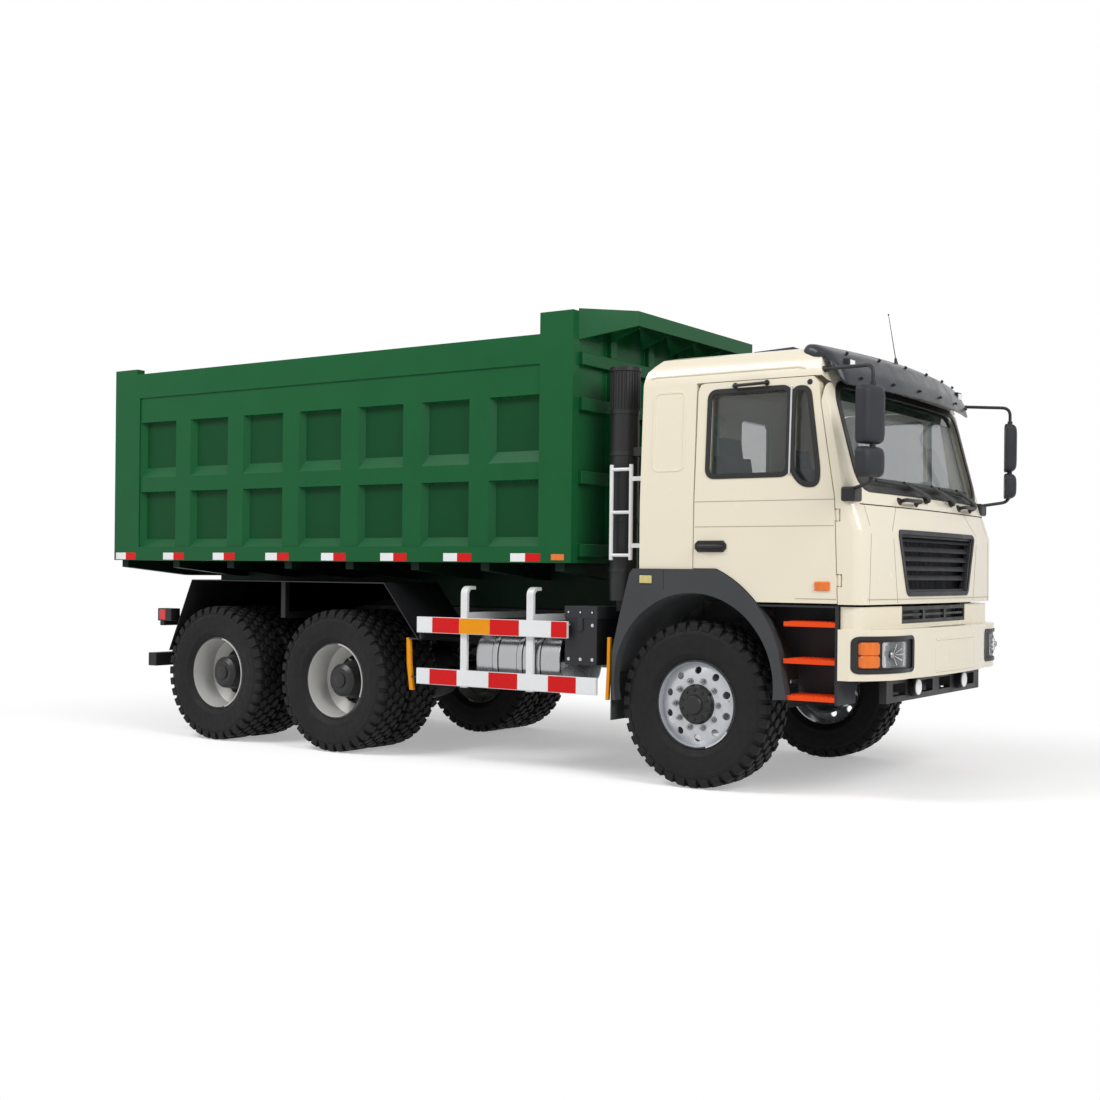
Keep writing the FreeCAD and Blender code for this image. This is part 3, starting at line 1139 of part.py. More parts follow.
def pocket(x0, x1, z0, z1, bevel_x, bevel_low, bevel_high):
    y_out = BED_HALF_WIDTH - RAIL_STEP
    y_in = BED_HALF_WIDTH - POCKET_DEPTH
    outer = [V(x0, y_out + 1, z0), V(x1, y_out + 1, z0), V(x1, y_out + 1, z1), V(x0, y_out + 1, z1)]
    inner = [V(x0 + bevel_x, y_in, z0 + bevel_low), V(x1 - bevel_x, y_in, z0 + bevel_low),
             V(x1 - bevel_x, y_in, z1 - bevel_high), V(x0 + bevel_x, y_in, z1 - bevel_high)]
    return Part.makeLoft([closed_wire(outer), closed_wire(inner)], True, True)


def bed_side():
    y0 = BED_HALF_WIDTH - BED_WALL
    y1 = BED_HALF_WIDTH - RAIL_STEP
    wall = box(BED_X0, BED_X1, y0, y1, FLOOR_Z0, SIDE_Z1)
    for i in range(BAY_COUNT):
        x0 = BAY_X0 + i * (BAY_LENGTH + RIB_WIDTH)
        x1 = x0 + BAY_LENGTH
        wall = wall.cut(pocket(x0, x1, SILL_Z1, MID_RAIL_Z0, 38, 69, 10))
        wall = wall.cut(pocket(x0, x1, MID_RAIL_Z1, LOWER_TOP_RAIL_Z0, 38, 86, 10))
    sill = box(BED_X0, BED_X1, y1, BED_HALF_WIDTH, FLOOR_Z0, SILL_Z1)
    cap = box(BED_X0, BED_X1, y1, BED_HALF_WIDTH, UPPER_TOP_RAIL_Z0, SIDE_Z1)
    post = box(BED_X1 - POST_LENGTH, BED_X1, y0, BED_HALF_WIDTH, FLOOR_Z0, POST_Z1)
    pillar = box(BED_X0, BED_X0 + PILLAR_LENGTH, y1, BED_HALF_WIDTH, FLOOR_Z0, SIDE_Z1)
    ear = box(BED_X0, BED_X0 + PILLAR_LENGTH - 40, y0, BED_HALF_WIDTH, SIDE_Z1, SIDE_Z1 + 45)
    pin = cylinder_y(GATE_PIN_X, GATE_PIN_Z, y0 - 60, y0, GATE_PIN_RADIUS)
    return fuse([wall, sill, cap, post, pillar, ear, pin])


GATE_THICKNESS = 60.0
GATE_PIN_X = BED_X0 + 75.0
GATE_PIN_Z = SIDE_Z1 - 30.0
GATE_PIN_RADIUS = 25.0


def tailgate():
    side = BED_HALF_WIDTH - BED_WALL - SEAM
    x0 = TAIL_X
    x1 = x0 + GATE_THICKNESS
    top = GATE_PIN_Z - 70.0
    panel = box(x0 + 35, x1, -side, side, FLOOR_Z0, top)
    ribs = []
    for z in (FLOOR_Z0, FLOOR_Z1 + 500, FLOOR_Z1 + 1000, top - 110):
        ribs.append(box(x0, x0 + 35, -side, side, z, z + 110))
    for y in (-side, -side / 3 - 55, side / 3 - 55, side - 110):
        ribs.append(box(x0, x0 + 35, y, y + 110, FLOOR_Z0, top))
    arms = []
    for way in (-1, 1):
        y0, y1 = sorted((way * (side - 50), way * side))
        arm = prism_y([(x0, top - 100), (x1, top - 100), (GATE_PIN_X + 30, GATE_PIN_Z - 30),
                       (GATE_PIN_X - 40, GATE_PIN_Z + 20), (x0, top + 10)], y0, y1)
        eye = cylinder_y(GATE_PIN_X, GATE_PIN_Z, y0, y1, 50)
        hole = cylinder_y(GATE_PIN_X, GATE_PIN_Z, y0 - 1, y1 + 1, GATE_PIN_RADIUS + PIN_GAP)
        arms.append(fuse([arm, eye]).cut(hole))
    return fuse([panel] + ribs + arms).cut(fuse(both_sides(cylinder_y(
        GATE_PIN_X, GATE_PIN_Z, side - 51, side + 1, GATE_PIN_RADIUS + PIN_GAP))))


def bed_floor():
    inner = BED_HALF_WIDTH - BED_WALL
    plate = box(TAIL_X + GATE_THICKNESS + SEAM, BED_X1 - 50, -inner, inner, FLOOR_Z0, FLOOR_Z1)
    parts = [plate]
    for i in range(BEARER_COUNT):
        x = BEARER_X0 + i * BEARER_PITCH
        half = [(inner + 40, FLOOR_Z0), (inner + 40, FLOOR_Z0 - 60), (500, BEARER_Z0)]
        outline = [(-y, z) for y, z in half] + list(reversed(half))
        parts.append(prism_x(outline, x, x + BEARER_WIDTH))
    for side in (-1, 1):
        y0, y1 = sorted((side * (FRAME_HALF_WIDTH - 5), side * (RAIL_INNER_Y - 5)))
        runner = box(TIP_X, BED_X1 - 200, y0, y1, RUNNER_Z0, FLOOR_Z0)
        lug = cylinder_y(TIP_X, TIP_Z, y0, y1, TIP_Z - RUNNER_Z0)
        heel = box(TIP_X - 75, TIP_X, y0, y1, TIP_Z, FLOOR_Z0)
        parts.append(fuse([runner, lug, heel]))
        y0, y1 = sorted((side * 62.0, side * 87.0))
        parts.append(box(HOIST_EYE_X - 90, HOIST_EYE_X + 90, y0, y1, HOIST_EYE_Z - 70, FLOOR_Z0))
    whole = fuse(parts)
    bore = cylinder_y(TIP_X, TIP_Z, -500, 500, TIP_SHAFT_RADIUS + PIN_GAP)
    return whole.cut(bore)


def bed_front():
    inner = BED_HALF_WIDTH - BED_WALL
    x1 = BED_X1
    wall = box(x1 - 50, x1 - 20, -inner, inner, FLOOR_Z0, POST_Z1)
    parts = [wall]
    for z in (FLOOR_Z1 + 30, FLOOR_Z0 + 560, FLOOR_Z0 + 1080, FLOOR_Z0 + 1400):
        parts.append(box(x1 - 20, x1 + 30, -inner, inner, z, z + 90))
    for y in (-780.0, -260.0, 180.0, 700.0):
        parts.append(box(x1 - 20, x1 + 20, y, y + 80, FLOOR_Z1 + 30, POST_Z1 - 40))
    return fuse(parts)


CANOPY_REACH = 307.0
CANOPY_FRONT_HALF = BED_HALF_WIDTH - 372.0
CANOPY_LIP = 105.0


def bed_canopy():
    root = BED_X1
    tip = BED_X1 + CANOPY_REACH
    half = BED_HALF_WIDTH - 68.0
    z1 = POST_Z1 + 18
    plan = [(root, -half), (tip, -CANOPY_FRONT_HALF), (tip, CANOPY_FRONT_HALF), (root, half)]
    top = prism_z(plan, z1 - 14, z1)
    lip = box(tip - 12, tip, -CANOPY_FRONT_HALF, CANOPY_FRONT_HALF, z1 - CANOPY_LIP, z1)
    parts = [top, lip]
    for side in (-1, 1):
        skin = prism_z([(root, side * half), (tip, side * CANOPY_FRONT_HALF),
                        (tip - 14, side * (CANOPY_FRONT_HALF - 8)), (root, side * (half - 20))], 0, 4000)
        cheek = prism_y([(root, z1 - 220), (tip, z1 - CANOPY_LIP), (tip, z1), (root, z1)], -1300, 1300)
        parts.append(skin.common(cheek))
    for i in range(5):
        y = (i - 2) * 400.0
        rib = prism_y([(root + 30, z1 - 200), (tip - 12, z1 - CANOPY_LIP), (tip - 12, z1 - 14),
                       (root + 30, z1 - 14)], y - 6, y + 6)
        parts.append(rib)
    return fuse(parts)


def save(name, solids):
    if not isinstance(solids, list):
        solids = [solids]
    pieces = []
    for solid in solids:
        pieces.extend(solid.Solids)
    shape = pieces[0] if len(pieces) == 1 else Part.makeCompound(pieces)
    shape.exportStep("parts/" + name + ".step")
    print(name, len(pieces), round(shape.Volume / 1e9, 4), "valid" if shape.isValid() else "NOT VALID")


def build_wheels():
    bulged, plain = tyre(True), tyre(False)
    rim = front_rim()
    save("front_rim_left", rim)
    save("front_rim_right", flip(rim))
    for name, side in (("left", 1), ("right", -1)):
        save("front_tyre_" + name, placed(bulged, AXLE_1_X, side * FRONT_WHEEL_Y, AXLE_Z))
        for axle, x in (("mid", AXLE_2_X), ("rear", AXLE_3_X)):
            outer = placed(bulged, x, side * (DUAL_CENTRE_Y + DUAL_SPACING / 2), AXLE_Z)
            inner = placed(plain, x, side * (DUAL_CENTRE_Y - DUAL_SPACING / 2), AXLE_Z)
            save(axle + "_tyres_" + name, [outer, inner])
    for axle, x in (("mid", AXLE_2_X), ("rear", AXLE_3_X)):
        rims = rear_rims(x)
        save(axle + "_rims_left", rims)
        save(axle + "_rims_right", flip(rims))


def build_chassis():
    save("frame_rails", frame_rails())
    save("cross_members", cross_members())
    save("engine_block", engine_block())
    save("front_axle", front_axle())
    save("rear_axles", rear_axles())
    save("drive_shafts", drive_shafts())
    save("fuel_tank", fuel_tank())
    save("battery_box", battery_box())
    save("air_tanks", air_tanks())
    save("side_guards", both_sides(side_guard()))
    save("rear_mudguards", both_sides(rear_mudguard()))
    save("rear_bar", rear_bar())
    save("front_bumper", front_bumper())
    save("front_valance", front_valance())
    save("lamps", lamps())
    save("step_housings", both_sides(step_housing()))
    save("step_treads", step_treads() + [flip(tread) for tread in step_treads()])
    save("front_fenders", both_sides(front_fender()))
    save("intake_stack", intake_stack())
    save("side_ladder", side_ladder())
    steering = knuckle()
    save("knuckle_left", steering)
    save("knuckle_right", flip(steering))


def build_cab():
    body, roof, front, skin = cab_parts()
    save("cab_body", body)
    save("cab_roof", roof)
    save("roof_hatch", roof_hatch())
    save("cab_front", front)
    save("rear_glass", rear_glass())
    save("windscreen", windscreen())
    save("grille", grille())
    save("sun_visor", sun_visor())
    save("mirrors", both_sides(mirror()))
    save("seats", seats())
    save("dashboard", dashboard())
    left = door(skin)
    panes = door_glass()
    save("door_left", left)
    save("door_right", flip(left))
    save("door_glass_left", panes)
    save("door_glass_right", [flip(pane) for pane in panes])


def build_bed():
    save("bed_floor", bed_floor())
    side = bed_side()
    save("bed_sides", both_sides(side))
    save("bed_front", bed_front())
    save("bed_canopy", bed_canopy())
    save("tailgate", tailgate())
    save("hoist_barrel", hoist_barrel())
    save("hoist_rod", hoist_rod())


os.makedirs("parts", exist_ok=True)
build_wheels()
build_chassis()
build_cab()
build_bed()
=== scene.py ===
import json
import math

import bmesh
import bpy
from mathutils import Matrix, Vector
from mathutils.bvhtree import BVHTree


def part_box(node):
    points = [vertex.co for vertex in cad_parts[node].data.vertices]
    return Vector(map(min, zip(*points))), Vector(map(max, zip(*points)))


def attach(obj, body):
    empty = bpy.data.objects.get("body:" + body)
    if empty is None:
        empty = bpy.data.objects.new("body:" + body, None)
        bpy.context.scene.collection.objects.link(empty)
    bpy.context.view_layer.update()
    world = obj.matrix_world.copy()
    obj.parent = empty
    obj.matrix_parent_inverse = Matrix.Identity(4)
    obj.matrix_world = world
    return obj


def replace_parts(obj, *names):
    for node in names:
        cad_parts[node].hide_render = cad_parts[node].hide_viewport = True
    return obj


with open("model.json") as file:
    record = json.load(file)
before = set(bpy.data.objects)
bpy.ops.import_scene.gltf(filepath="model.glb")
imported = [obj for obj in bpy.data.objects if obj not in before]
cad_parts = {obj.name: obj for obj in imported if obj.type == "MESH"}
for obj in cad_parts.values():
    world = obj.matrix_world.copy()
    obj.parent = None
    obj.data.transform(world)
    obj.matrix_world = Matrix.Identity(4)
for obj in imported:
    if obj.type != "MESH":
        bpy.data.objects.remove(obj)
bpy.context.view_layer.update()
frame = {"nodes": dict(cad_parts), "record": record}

# Places taken from the frame, in metres
NODES = frame["nodes"]
NODE_BODY = {node: body for body, nodes in frame["record"]["behaviour"]["bodies"].items() for node in nodes}
AXLE_Z = sum(c.z for c in map(Vector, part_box("front_tyre_left"))) / 2
AXLE_1_X, AXLE_2_X, AXLE_3_X = (sum(c.x for c in map(Vector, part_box(node))) / 2
                                for node in ("front_tyre_left", "mid_tyres_left", "rear_tyres_left"))
TYRE_RADIUS = Vector(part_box("front_tyre_left")[1]).z - AXLE_Z
NOSE_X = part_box("front_bumper")[1][0]
FACE_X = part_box("cab_front")[1][0]
CAB_X0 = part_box("cab_body")[0][0]
CAB_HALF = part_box("cab_front")[1][1]
CAB_Z0, SEAM_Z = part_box("cab_front")[0][2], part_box("cab_front")[1][2]
CAB_Z1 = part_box("cab_roof")[1][2]
BED_X0, BED_X1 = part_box("bed_sides")[0][0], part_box("bed_sides")[1][0]
BED_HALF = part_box("bed_sides")[1][1]
FRAME_Z0, FRAME_Z1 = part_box("frame_rails")[0][2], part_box("frame_rails")[1][2]
BUMPER_Z0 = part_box("front_bumper")[0][2]

# The cab's outer surface
BELT_Z = CAB_Z0 + 0.730
BROW_Z = BELT_Z - 0.270
GLASS_SETBACK = 0.090
GLASS_SLOPE = 0.205 / 0.750
BOW = 14.0
CORNER = 0.080
SIDE_LEAN = 0.035
DUST = (0.20, 0.18, 0.15)


def srgb(red, green, blue):
    """A colour as the eye reads it, 0 to 255, as scene values."""
    out = []
    for value in (red, green, blue):
        value /= 255
        out.append(value / 12.92 if value <= 0.04045 else ((value + 0.055) / 1.055) ** 2.4)
    return tuple(out)


def fill(tree, shader, values):
    """Sets a shader node's sockets to values, or links them to other nodes' outputs."""
    for socket, value in values.items():
        if isinstance(value, bpy.types.NodeSocket):
            tree.links.new(value, shader.inputs[socket])
        else:
            shader.inputs[socket].default_value = value


def node(tree, kind, values, **settings):
    """The output of a new shader node."""
    made = tree.nodes.new("ShaderNode" + kind)
    for name, value in settings.items():
        setattr(made, name, value)
    fill(tree, made, values)
    return next(socket for socket in made.outputs if socket.enabled)


def new_material(name):
    mat = bpy.data.materials.new(name)
    mat.use_nodes = True
    return mat, mat.node_tree, mat.node_tree.nodes["Principled BSDF"]


def shade(name, colour, rough=0.4, metal=0.0, coat=0.0, mottle=0.06, mottle_scale=2.5, grain=0.0,
          grain_scale=120.0, rough_spread=0.08, dust=0.0, dust_top=1.2, stretch=(1, 1, 1), shine=0.35):
    """A surface with a soft change of tone, uneven gloss, fine grain and dust towards the ground."""
    mat, tree, paint = new_material(name)
    place_in = tree.nodes.new("ShaderNodeTexCoord").outputs["Object"]
    stretched = node(tree, "Mapping", {"Scale": stretch, "Vector": place_in})

    def noise(scale, detail):
        return node(tree, "TexNoise", {"Scale": scale, "Detail": detail, "Vector": stretched})

    def ranged(source, low, high, start=0.3, end=0.7):
        return node(tree, "MapRange", {"Value": source, "From Min": start, "From Max": end,
                                       "To Min": low, "To Max": high})

    cloud = ranged(noise(mottle_scale, 4), 0.0, 1.0)
    dark, pale = ([min(1.0, c * (1 + change)) for c in colour] for change in (-mottle, mottle))
    tone = node(tree, "Mix", {"Factor": cloud, "A": (*dark, 1), "B": (*pale, 1)}, data_type="RGBA")
    if dust:
        split = tree.nodes.new("ShaderNodeSeparateXYZ")
        tree.links.new(place_in, split.inputs["Vector"])
        height = ranged(split.outputs["Z"], dust, 0.0, 0.1, dust_top)
        amount = node(tree, "Math", {0: height, 1: ranged(noise(9.0, 6), 0.2, 1.0)}, operation="MULTIPLY")
        tone = node(tree, "Mix", {"Factor": amount, "A": tone, "B": (*DUST, 1)}, data_type="RGBA")
    gloss = ranged(noise(mottle_scale * 3, 5), max(0.02, rough - rough_spread),
                   min(1.0, rough + rough_spread))
    fill(tree, paint, {"Base Color": tone, "Roughness": gloss, "Metallic": metal, "Specular IOR Level": shine,
                       "Coat Weight": coat, "Coat Roughness": 0.06})
    if grain:
        bump = node(tree, "Bump", {"Strength": grain, "Distance": 0.001, "Height": noise(grain_scale, 3)})
        fill(tree, paint, {"Normal": bump, "Coat Normal": bump})
    return mat


def tape_shade(name, colour, rough, coat, shine):
    return shade(name, colour, rough, coat=coat, mottle=0.03, grain=0.5, grain_scale=900, shine=shine)


def glass_shade(name, tint, alpha):
    mat = shade(name, tint, 0.03, mottle=0.02, rough_spread=0.015, shine=0.9)
    mat.node_tree.nodes["Principled BSDF"].inputs["Alpha"].default_value = alpha
    mat.surface_render_method = "BLENDED"
    return mat


def lens_shade(name, colour, glow):
    """A moulded lens with fine ribs and a faint light of its own colour from behind."""
    mat = shade(name, colour, 0.12, coat=0.6, mottle=0.10, mottle_scale=30, grain=0.9, grain_scale=70,
                stretch=(1, 1, 0.15))
    fill(mat.node_tree, mat.node_tree.nodes["Principled BSDF"],
         {"Emission Color": (*colour, 1), "Emission Strength": glow})
    return mat


# Paints and other surfaces
GREEN = shade("bed_paint", srgb(20, 89, 48), 0.34, coat=0.04, mottle=0.05, rough_spread=0.05, grain=0.05,
              grain_scale=260, shine=0.12)
# Painted shade: a darker green for the backs of the bed's pockets, standing for the shade in the recesses
POCKET_SHADE_GREEN = shade("bed_pocket_painted_shade", srgb(13, 70, 36), 0.40, coat=0.02, rough_spread=0.05, shine=0.10)
# Painted shade: a near-black green for the bed floor's underside, standing for the shade under the bed
UNDERSIDE_SHADE_GREEN = shade("bed_underside_painted_shade", srgb(12, 34, 22), 0.50, mottle=0.15, grain=0.10, shine=0.12)
CREAM = shade("cab_paint", srgb(240, 231, 209), 0.26, coat=0.35, mottle=0.006, rough_spread=0.015,
              grain=0.015, grain_scale=300, shine=0.3)
# Painted shade: a darker cream for thin lines along the cab's creases, standing for the shade in them
CREASE_SHADE = shade("crease_painted_shade", srgb(176, 166, 143), 0.45, mottle=0.05)
BLACK = shade("chassis_paint", (0.016, 0.016, 0.017), 0.50, mottle=0.25, grain=0.25, dust=0.10, dust_top=1.0,
              shine=0.25)
IRON = shade("cast_iron", (0.030, 0.030, 0.032), 0.60, metal=0.3, mottle=0.3, grain=0.6, grain_scale=60,
             dust=0.15)
RUBBER = shade("tyre_rubber", (0.0085, 0.0085, 0.009), 0.62, mottle=0.15, mottle_scale=8, grain=0.4,
               grain_scale=180, dust=0.010, dust_top=1.3, shine=0.22)
PLASTIC = shade("grained_plastic", srgb(49, 50, 54), 0.50, mottle=0.08, grain=0.4, grain_scale=500,
                shine=0.22)
VISOR = shade("visor_plastic", srgb(43, 45, 51), 0.30, mottle=0.04, grain=0.2, grain_scale=500, shine=0.30)
DARK = shade("black_plastic", (0.014, 0.014, 0.016), 0.45, mottle=0.15, grain=0.4, grain_scale=450)
SEAL = shade("seal_rubber", (0.010, 0.010, 0.010), 0.48, mottle=0.15, grain=0.2, grain_scale=300)
SHUT = shade("panel_gap", (0.018, 0.017, 0.016), 0.8, mottle=0.2)
FLARE = shade("flare_plastic", srgb(66, 68, 70), 0.50, grain=0.4, grain_scale=420, dust=0.05, shine=0.2)
ORANGE = shade("step_paint", srgb(238, 76, 20), coat=0.05, grain=0.2, shine=0.15)
WHITE = shade("guard_paint", srgb(232, 233, 234), 0.35, coat=0.3, mottle=0.03, grain=0.1)
RED_TAPE = tape_shade("red_tape", srgb(216, 14, 16), 0.28, 0.1, 0.15)
WHITE_TAPE = tape_shade("white_tape", srgb(238, 240, 242), 0.25, 0.5, 0.35)
AMBER_TAPE = tape_shade("amber_tape", srgb(242, 154, 8), 0.28, 0.1, 0.15)
STEEL = shade("tank_steel", (0.43, 0.44, 0.45), 0.26, metal=1.0, mottle=0.02, rough_spread=0.05, grain=0.06,
              grain_scale=30, stretch=(40, 1, 1))
NUT_STEEL = shade("nut_steel", (0.30, 0.30, 0.31), 0.30, metal=1.0, mottle=0.05)
RIM_SILVER = shade("rim_silver", srgb(196, 198, 202), 0.30, metal=0.45, coat=0.15, mottle=0.02,
                   rough_spread=0.03, grain=0.03)
RIM_GREY = shade("rim_grey", srgb(204, 203, 200), 0.42, metal=0.05, coat=0.1, mottle=0.03, grain=0.05,
                 shine=0.3)
HUB = shade("hub_paint", (0.02, 0.02, 0.021), 0.38, mottle=0.25, grain=0.3, grain_scale=80)
BRIGHT = shade("bright_steel", (0.60, 0.60, 0.62), 0.22, metal=1.0, mottle=0.05)
MIRROR = shade("mirror_glass", (0.75, 0.77, 0.80), 0.03, metal=1.0, mottle=0.01, rough_spread=0.01)
FABRIC = shade("seat_cloth", (0.050, 0.050, 0.056), 0.95, mottle=0.20, mottle_scale=40, grain=1.0,
               grain_scale=900)
CABIN = shade("cab_plastic", srgb(96, 98, 102), 0.62, mottle=0.08, grain=0.6, grain_scale=400)
GLASS = glass_shade("window_glass", (0.060, 0.075, 0.080), 0.40)
SCREEN = glass_shade("screen_glass", (0.20, 0.25, 0.26), 0.24)
SHADE_BAND = glass_shade("screen_shade_band", (0.010, 0.030, 0.020), 0.72)
REAR_GLASS = glass_shade("rear_window_glass", (0.30, 0.34, 0.34), 0.10)
LAMP_COVER = glass_shade("lamp_cover", (0.80, 0.83, 0.85), 0.16)
AMBER = lens_shade("amber_lens", srgb(230, 112, 6), 0.05)
RED = lens_shade("red_lens", srgb(200, 18, 14), 0.18)
PALE_AMBER = lens_shade("pale_amber_lens", srgb(206, 190, 120), 0.05)
CLEAR = lens_shade("clear_lens", (0.86, 0.88, 0.90), 0.10)


def smooth(mesh, angle):
    mesh.shade_smooth()
    mesh.set_sharp_from_angle(angle=math.radians(angle))


def rounded_edges(obj, width, segments=2, angle=32):
    mod = obj.modifiers.new("rounding", "BEVEL")
    mod.width = width
    mod.segments = segments
    mod.limit_method = "ANGLE"
    mod.angle_limit = math.radians(angle)
    mod.harden_normals = True


class Sculpt:
    """Collects closed forms that become one object."""

    def __init__(self):
        self.verts = []
        self.faces = []

    def add(self, verts, faces):
        base = len(self.verts)
        self.verts.extend(Vector(v) for v in verts)
        self.faces.extend(tuple(base + i for i in face) for face in faces)
        return self

    def loft(self, rings, loop=False):
        n = len(rings[0])
        count = len(rings)
        faces = []
        for k in range(count if loop else count - 1):
            low, high = k * n, (k + 1) % count * n
            faces.extend((low + i, low + (i + 1) % n, high + (i + 1) % n, high + i) for i in range(n))
        if not loop:
            faces.append(tuple(reversed(range(n))))
            faces.append(tuple((count - 1) * n + i for i in range(n)))
        return self.add([p for ring in rings for p in ring], faces)

    def box(self, lo, hi):
        corners = [(lo[0], lo[1]), (hi[0], lo[1]), (hi[0], hi[1]), (lo[0], hi[1])]
        return self.loft([[(x, y, z) for x, y in corners] for z in (lo[2], hi[2])])

    def rod(self, start, run, radius, sides=12, end_radius=None):
        return self.tube([Vector(start), Vector(start) + Vector(run)], radius, sides, end_radius)

    def slab(self, side, along, out, up):
        """A block on one side: its spans along the truck, out from the middle and up."""
        y0, y1 = span(side, *out)
        return self.box((along[0], y0, up[0]), (along[1], y1, up[1]))

    def tube(self, points, radius, sides=12, end_radius=None):
        points = [Vector(p) for p in points]
        ahead = (points[1] - points[0]).normalized()
        across = ahead.orthogonal().normalized()
        rings = []
        for i, point in enumerate(points):
            before, after = points[max(i - 1, 0)], points[min(i + 1, len(points) - 1)]
            turned = (after - before).normalized()
            across = (across - turned * across.dot(turned)).normalized()
            other = turned.cross(across)
            share = i / (len(points) - 1)
            size = radius if end_radius is None else radius + (end_radius - radius) * share
            rings.append([point + (across * math.cos(a) + other * math.sin(a)) * size
                          for a in (2 * math.pi * k / sides for k in range(sides))])
        return self.loft(rings)

    def lathe_y(self, profile, x, z, sides=64):
        """A closed profile of (y, radius) turned about an axle at x, z."""
        rings = []
        for k in range(sides):
            a = 2 * math.pi * k / sides
            rings.append([(x + r * math.cos(a), y, z + r * math.sin(a)) for y, r in profile])
        return self.loft(rings, loop=True)

    def nut(self, centre, axis, radius, height):
        return self.rod(centre, Vector(axis).normalized() * height, radius, 6)


def arc(before, corner, after, radius, steps):
    """The points that round off a corner."""
    into, away = corner - before, after - corner
    cut = min(radius, into.length / 2.1, away.length / 2.1)
    start, end = corner - into.normalized() * cut, corner + away.normalized() * cut
    shares = [k / steps for k in range(steps + 1)]
    return [start * (1 - t) ** 2 + corner * 2 * t * (1 - t) + end * t ** 2 for t in shares]


def rounded_path(points, radius, steps=6):
    """The points with each bend turned into an arc."""
    points = [Vector(p) for p in points]
    out = [points[0]]
    for before, corner, after in zip(points, points[1:], points[2:]):
        out.extend(arc(before, corner, after, radius, steps))
    return out + [points[-1]]


def rounded_loop(points, radius, steps=6):
    """A closed outline of 2-D points with arcs at its corners."""
    points = [Vector(p) for p in points]
    out = []
    for before, corner, after in zip(points[-1:] + points, points, points[1:] + points[:1]):
        out.extend((p.x, p.y) for p in arc(before, corner, after, radius, steps))
    return out


def place(obj, material, body):
    obj.data.materials.clear()
    obj.data.materials.append(material)
    bpy.context.scene.collection.objects.link(obj)
    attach(obj, body)
    return obj


def form(name, sculpt, material, body, bevel=0.0, angle=32, segments=2):
    bm = bmesh.new()
    made = [bm.verts.new(v) for v in sculpt.verts]
    for face in sculpt.faces:
        bm.faces.new([made[i] for i in face])
    bmesh.ops.remove_doubles(bm, verts=bm.verts, dist=1e-6)
    bmesh.ops.recalc_face_normals(bm, faces=bm.faces)
    mesh = bpy.data.meshes.new(name)
    bm.to_mesh(mesh)
    bm.free()
    smooth(mesh, angle)
    obj = bpy.data.objects.new(name, mesh)
    place(obj, material, body)
    if bevel:
        rounded_edges(obj, bevel, segments, angle)
    return obj


def soften(node, material, width=0.004, angle=28, other=None, where=None):
    """A copy of a CAD node with rounded edges, which stands for it.

    Faces whose middle passes the test where get the other paint.
    """
    source = NODES[node].data
    bm = bmesh.new()
    bm.from_mesh(source)
    bmesh.ops.remove_doubles(bm, verts=bm.verts, dist=2e-5)
    bmesh.ops.dissolve_limit(bm, angle_limit=math.radians(0.7), verts=bm.verts, edges=bm.edges)
    bm.verts.index_update()
    verts = [v.co.copy() for v in bm.verts]
    faces = [tuple(v.index for v in face.verts) for face in bm.faces]
    bm.free()
    mesh = bpy.data.meshes.new(node + "_finish")
    mesh.from_pydata(verts, [], faces)
    smooth(mesh, angle)
    obj = bpy.data.objects.new(node + "_finish", mesh)
    place(obj, material, NODE_BODY[node])
    if other:
        mesh.materials.append(other)
        for face in mesh.polygons:
            face.material_index = int(where(face.center))
    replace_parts(obj, node)
    if width:
        rounded_edges(obj, width, 2, angle)
    return obj


def near_axle(x, radius):
    return lambda point: math.hypot(point.x - x, point.z - AXLE_Z) < radius


def surface_tree(cad_node):
    mesh = NODES[cad_node].data
    return BVHTree.FromPolygons([v.co for v in mesh.vertices], [tuple(f.vertices) for f in mesh.polygons])


def both(build):
    """Builds a pair: side is -1 on the right and 1 on the left."""
    for side in (-1, 1):
        build(side, "right" if side < 0 else "left")


def span(side, inner, outer):
    return sorted((side * inner, side * outer))


def level(half, height):
    return [(-half, height), (half, height)]


def rectangle(across, up):
    return [(across[0], up[0]), (across[1], up[0]), (across[1], up[1]), (across[0], up[1])]


def face_x(y, z):
    """The cab's front surface."""
    if z < BROW_Z:
        centre = FACE_X
    elif z < BELT_Z:
        centre = FACE_X - GLASS_SETBACK * (z - BROW_Z) / (BELT_Z - BROW_Z)
    else:
        centre = FACE_X - GLASS_SETBACK - GLASS_SLOPE * (z - BELT_Z)
    corner_y = CAB_HALF - CORNER
    corner_x = centre - BOW + math.sqrt((BOW - CORNER) ** 2 - corner_y ** 2)
    turn = math.atan2(corner_y, corner_x - centre + BOW)
    if abs(y) < BOW * math.sin(turn):
        return centre - BOW + math.sqrt(BOW ** 2 - y ** 2)
    return corner_x + math.sqrt(max(0.0, CORNER ** 2 - (abs(y) - corner_y) ** 2))


def side_y(z):
    """The cab's side surface."""
    bend = BELT_Z - 0.060
    return CAB_HALF - SIDE_LEAN * max(0.0, min(1.0, (z - bend) / (SEAM_Z - bend)))


def on_side(side):
    return lambda x, z: Vector((x, side * side_y(z), z))


def on_front(lift=0.0):
    return lambda y, z: Vector((face_x(y, z) + lift, y, z))


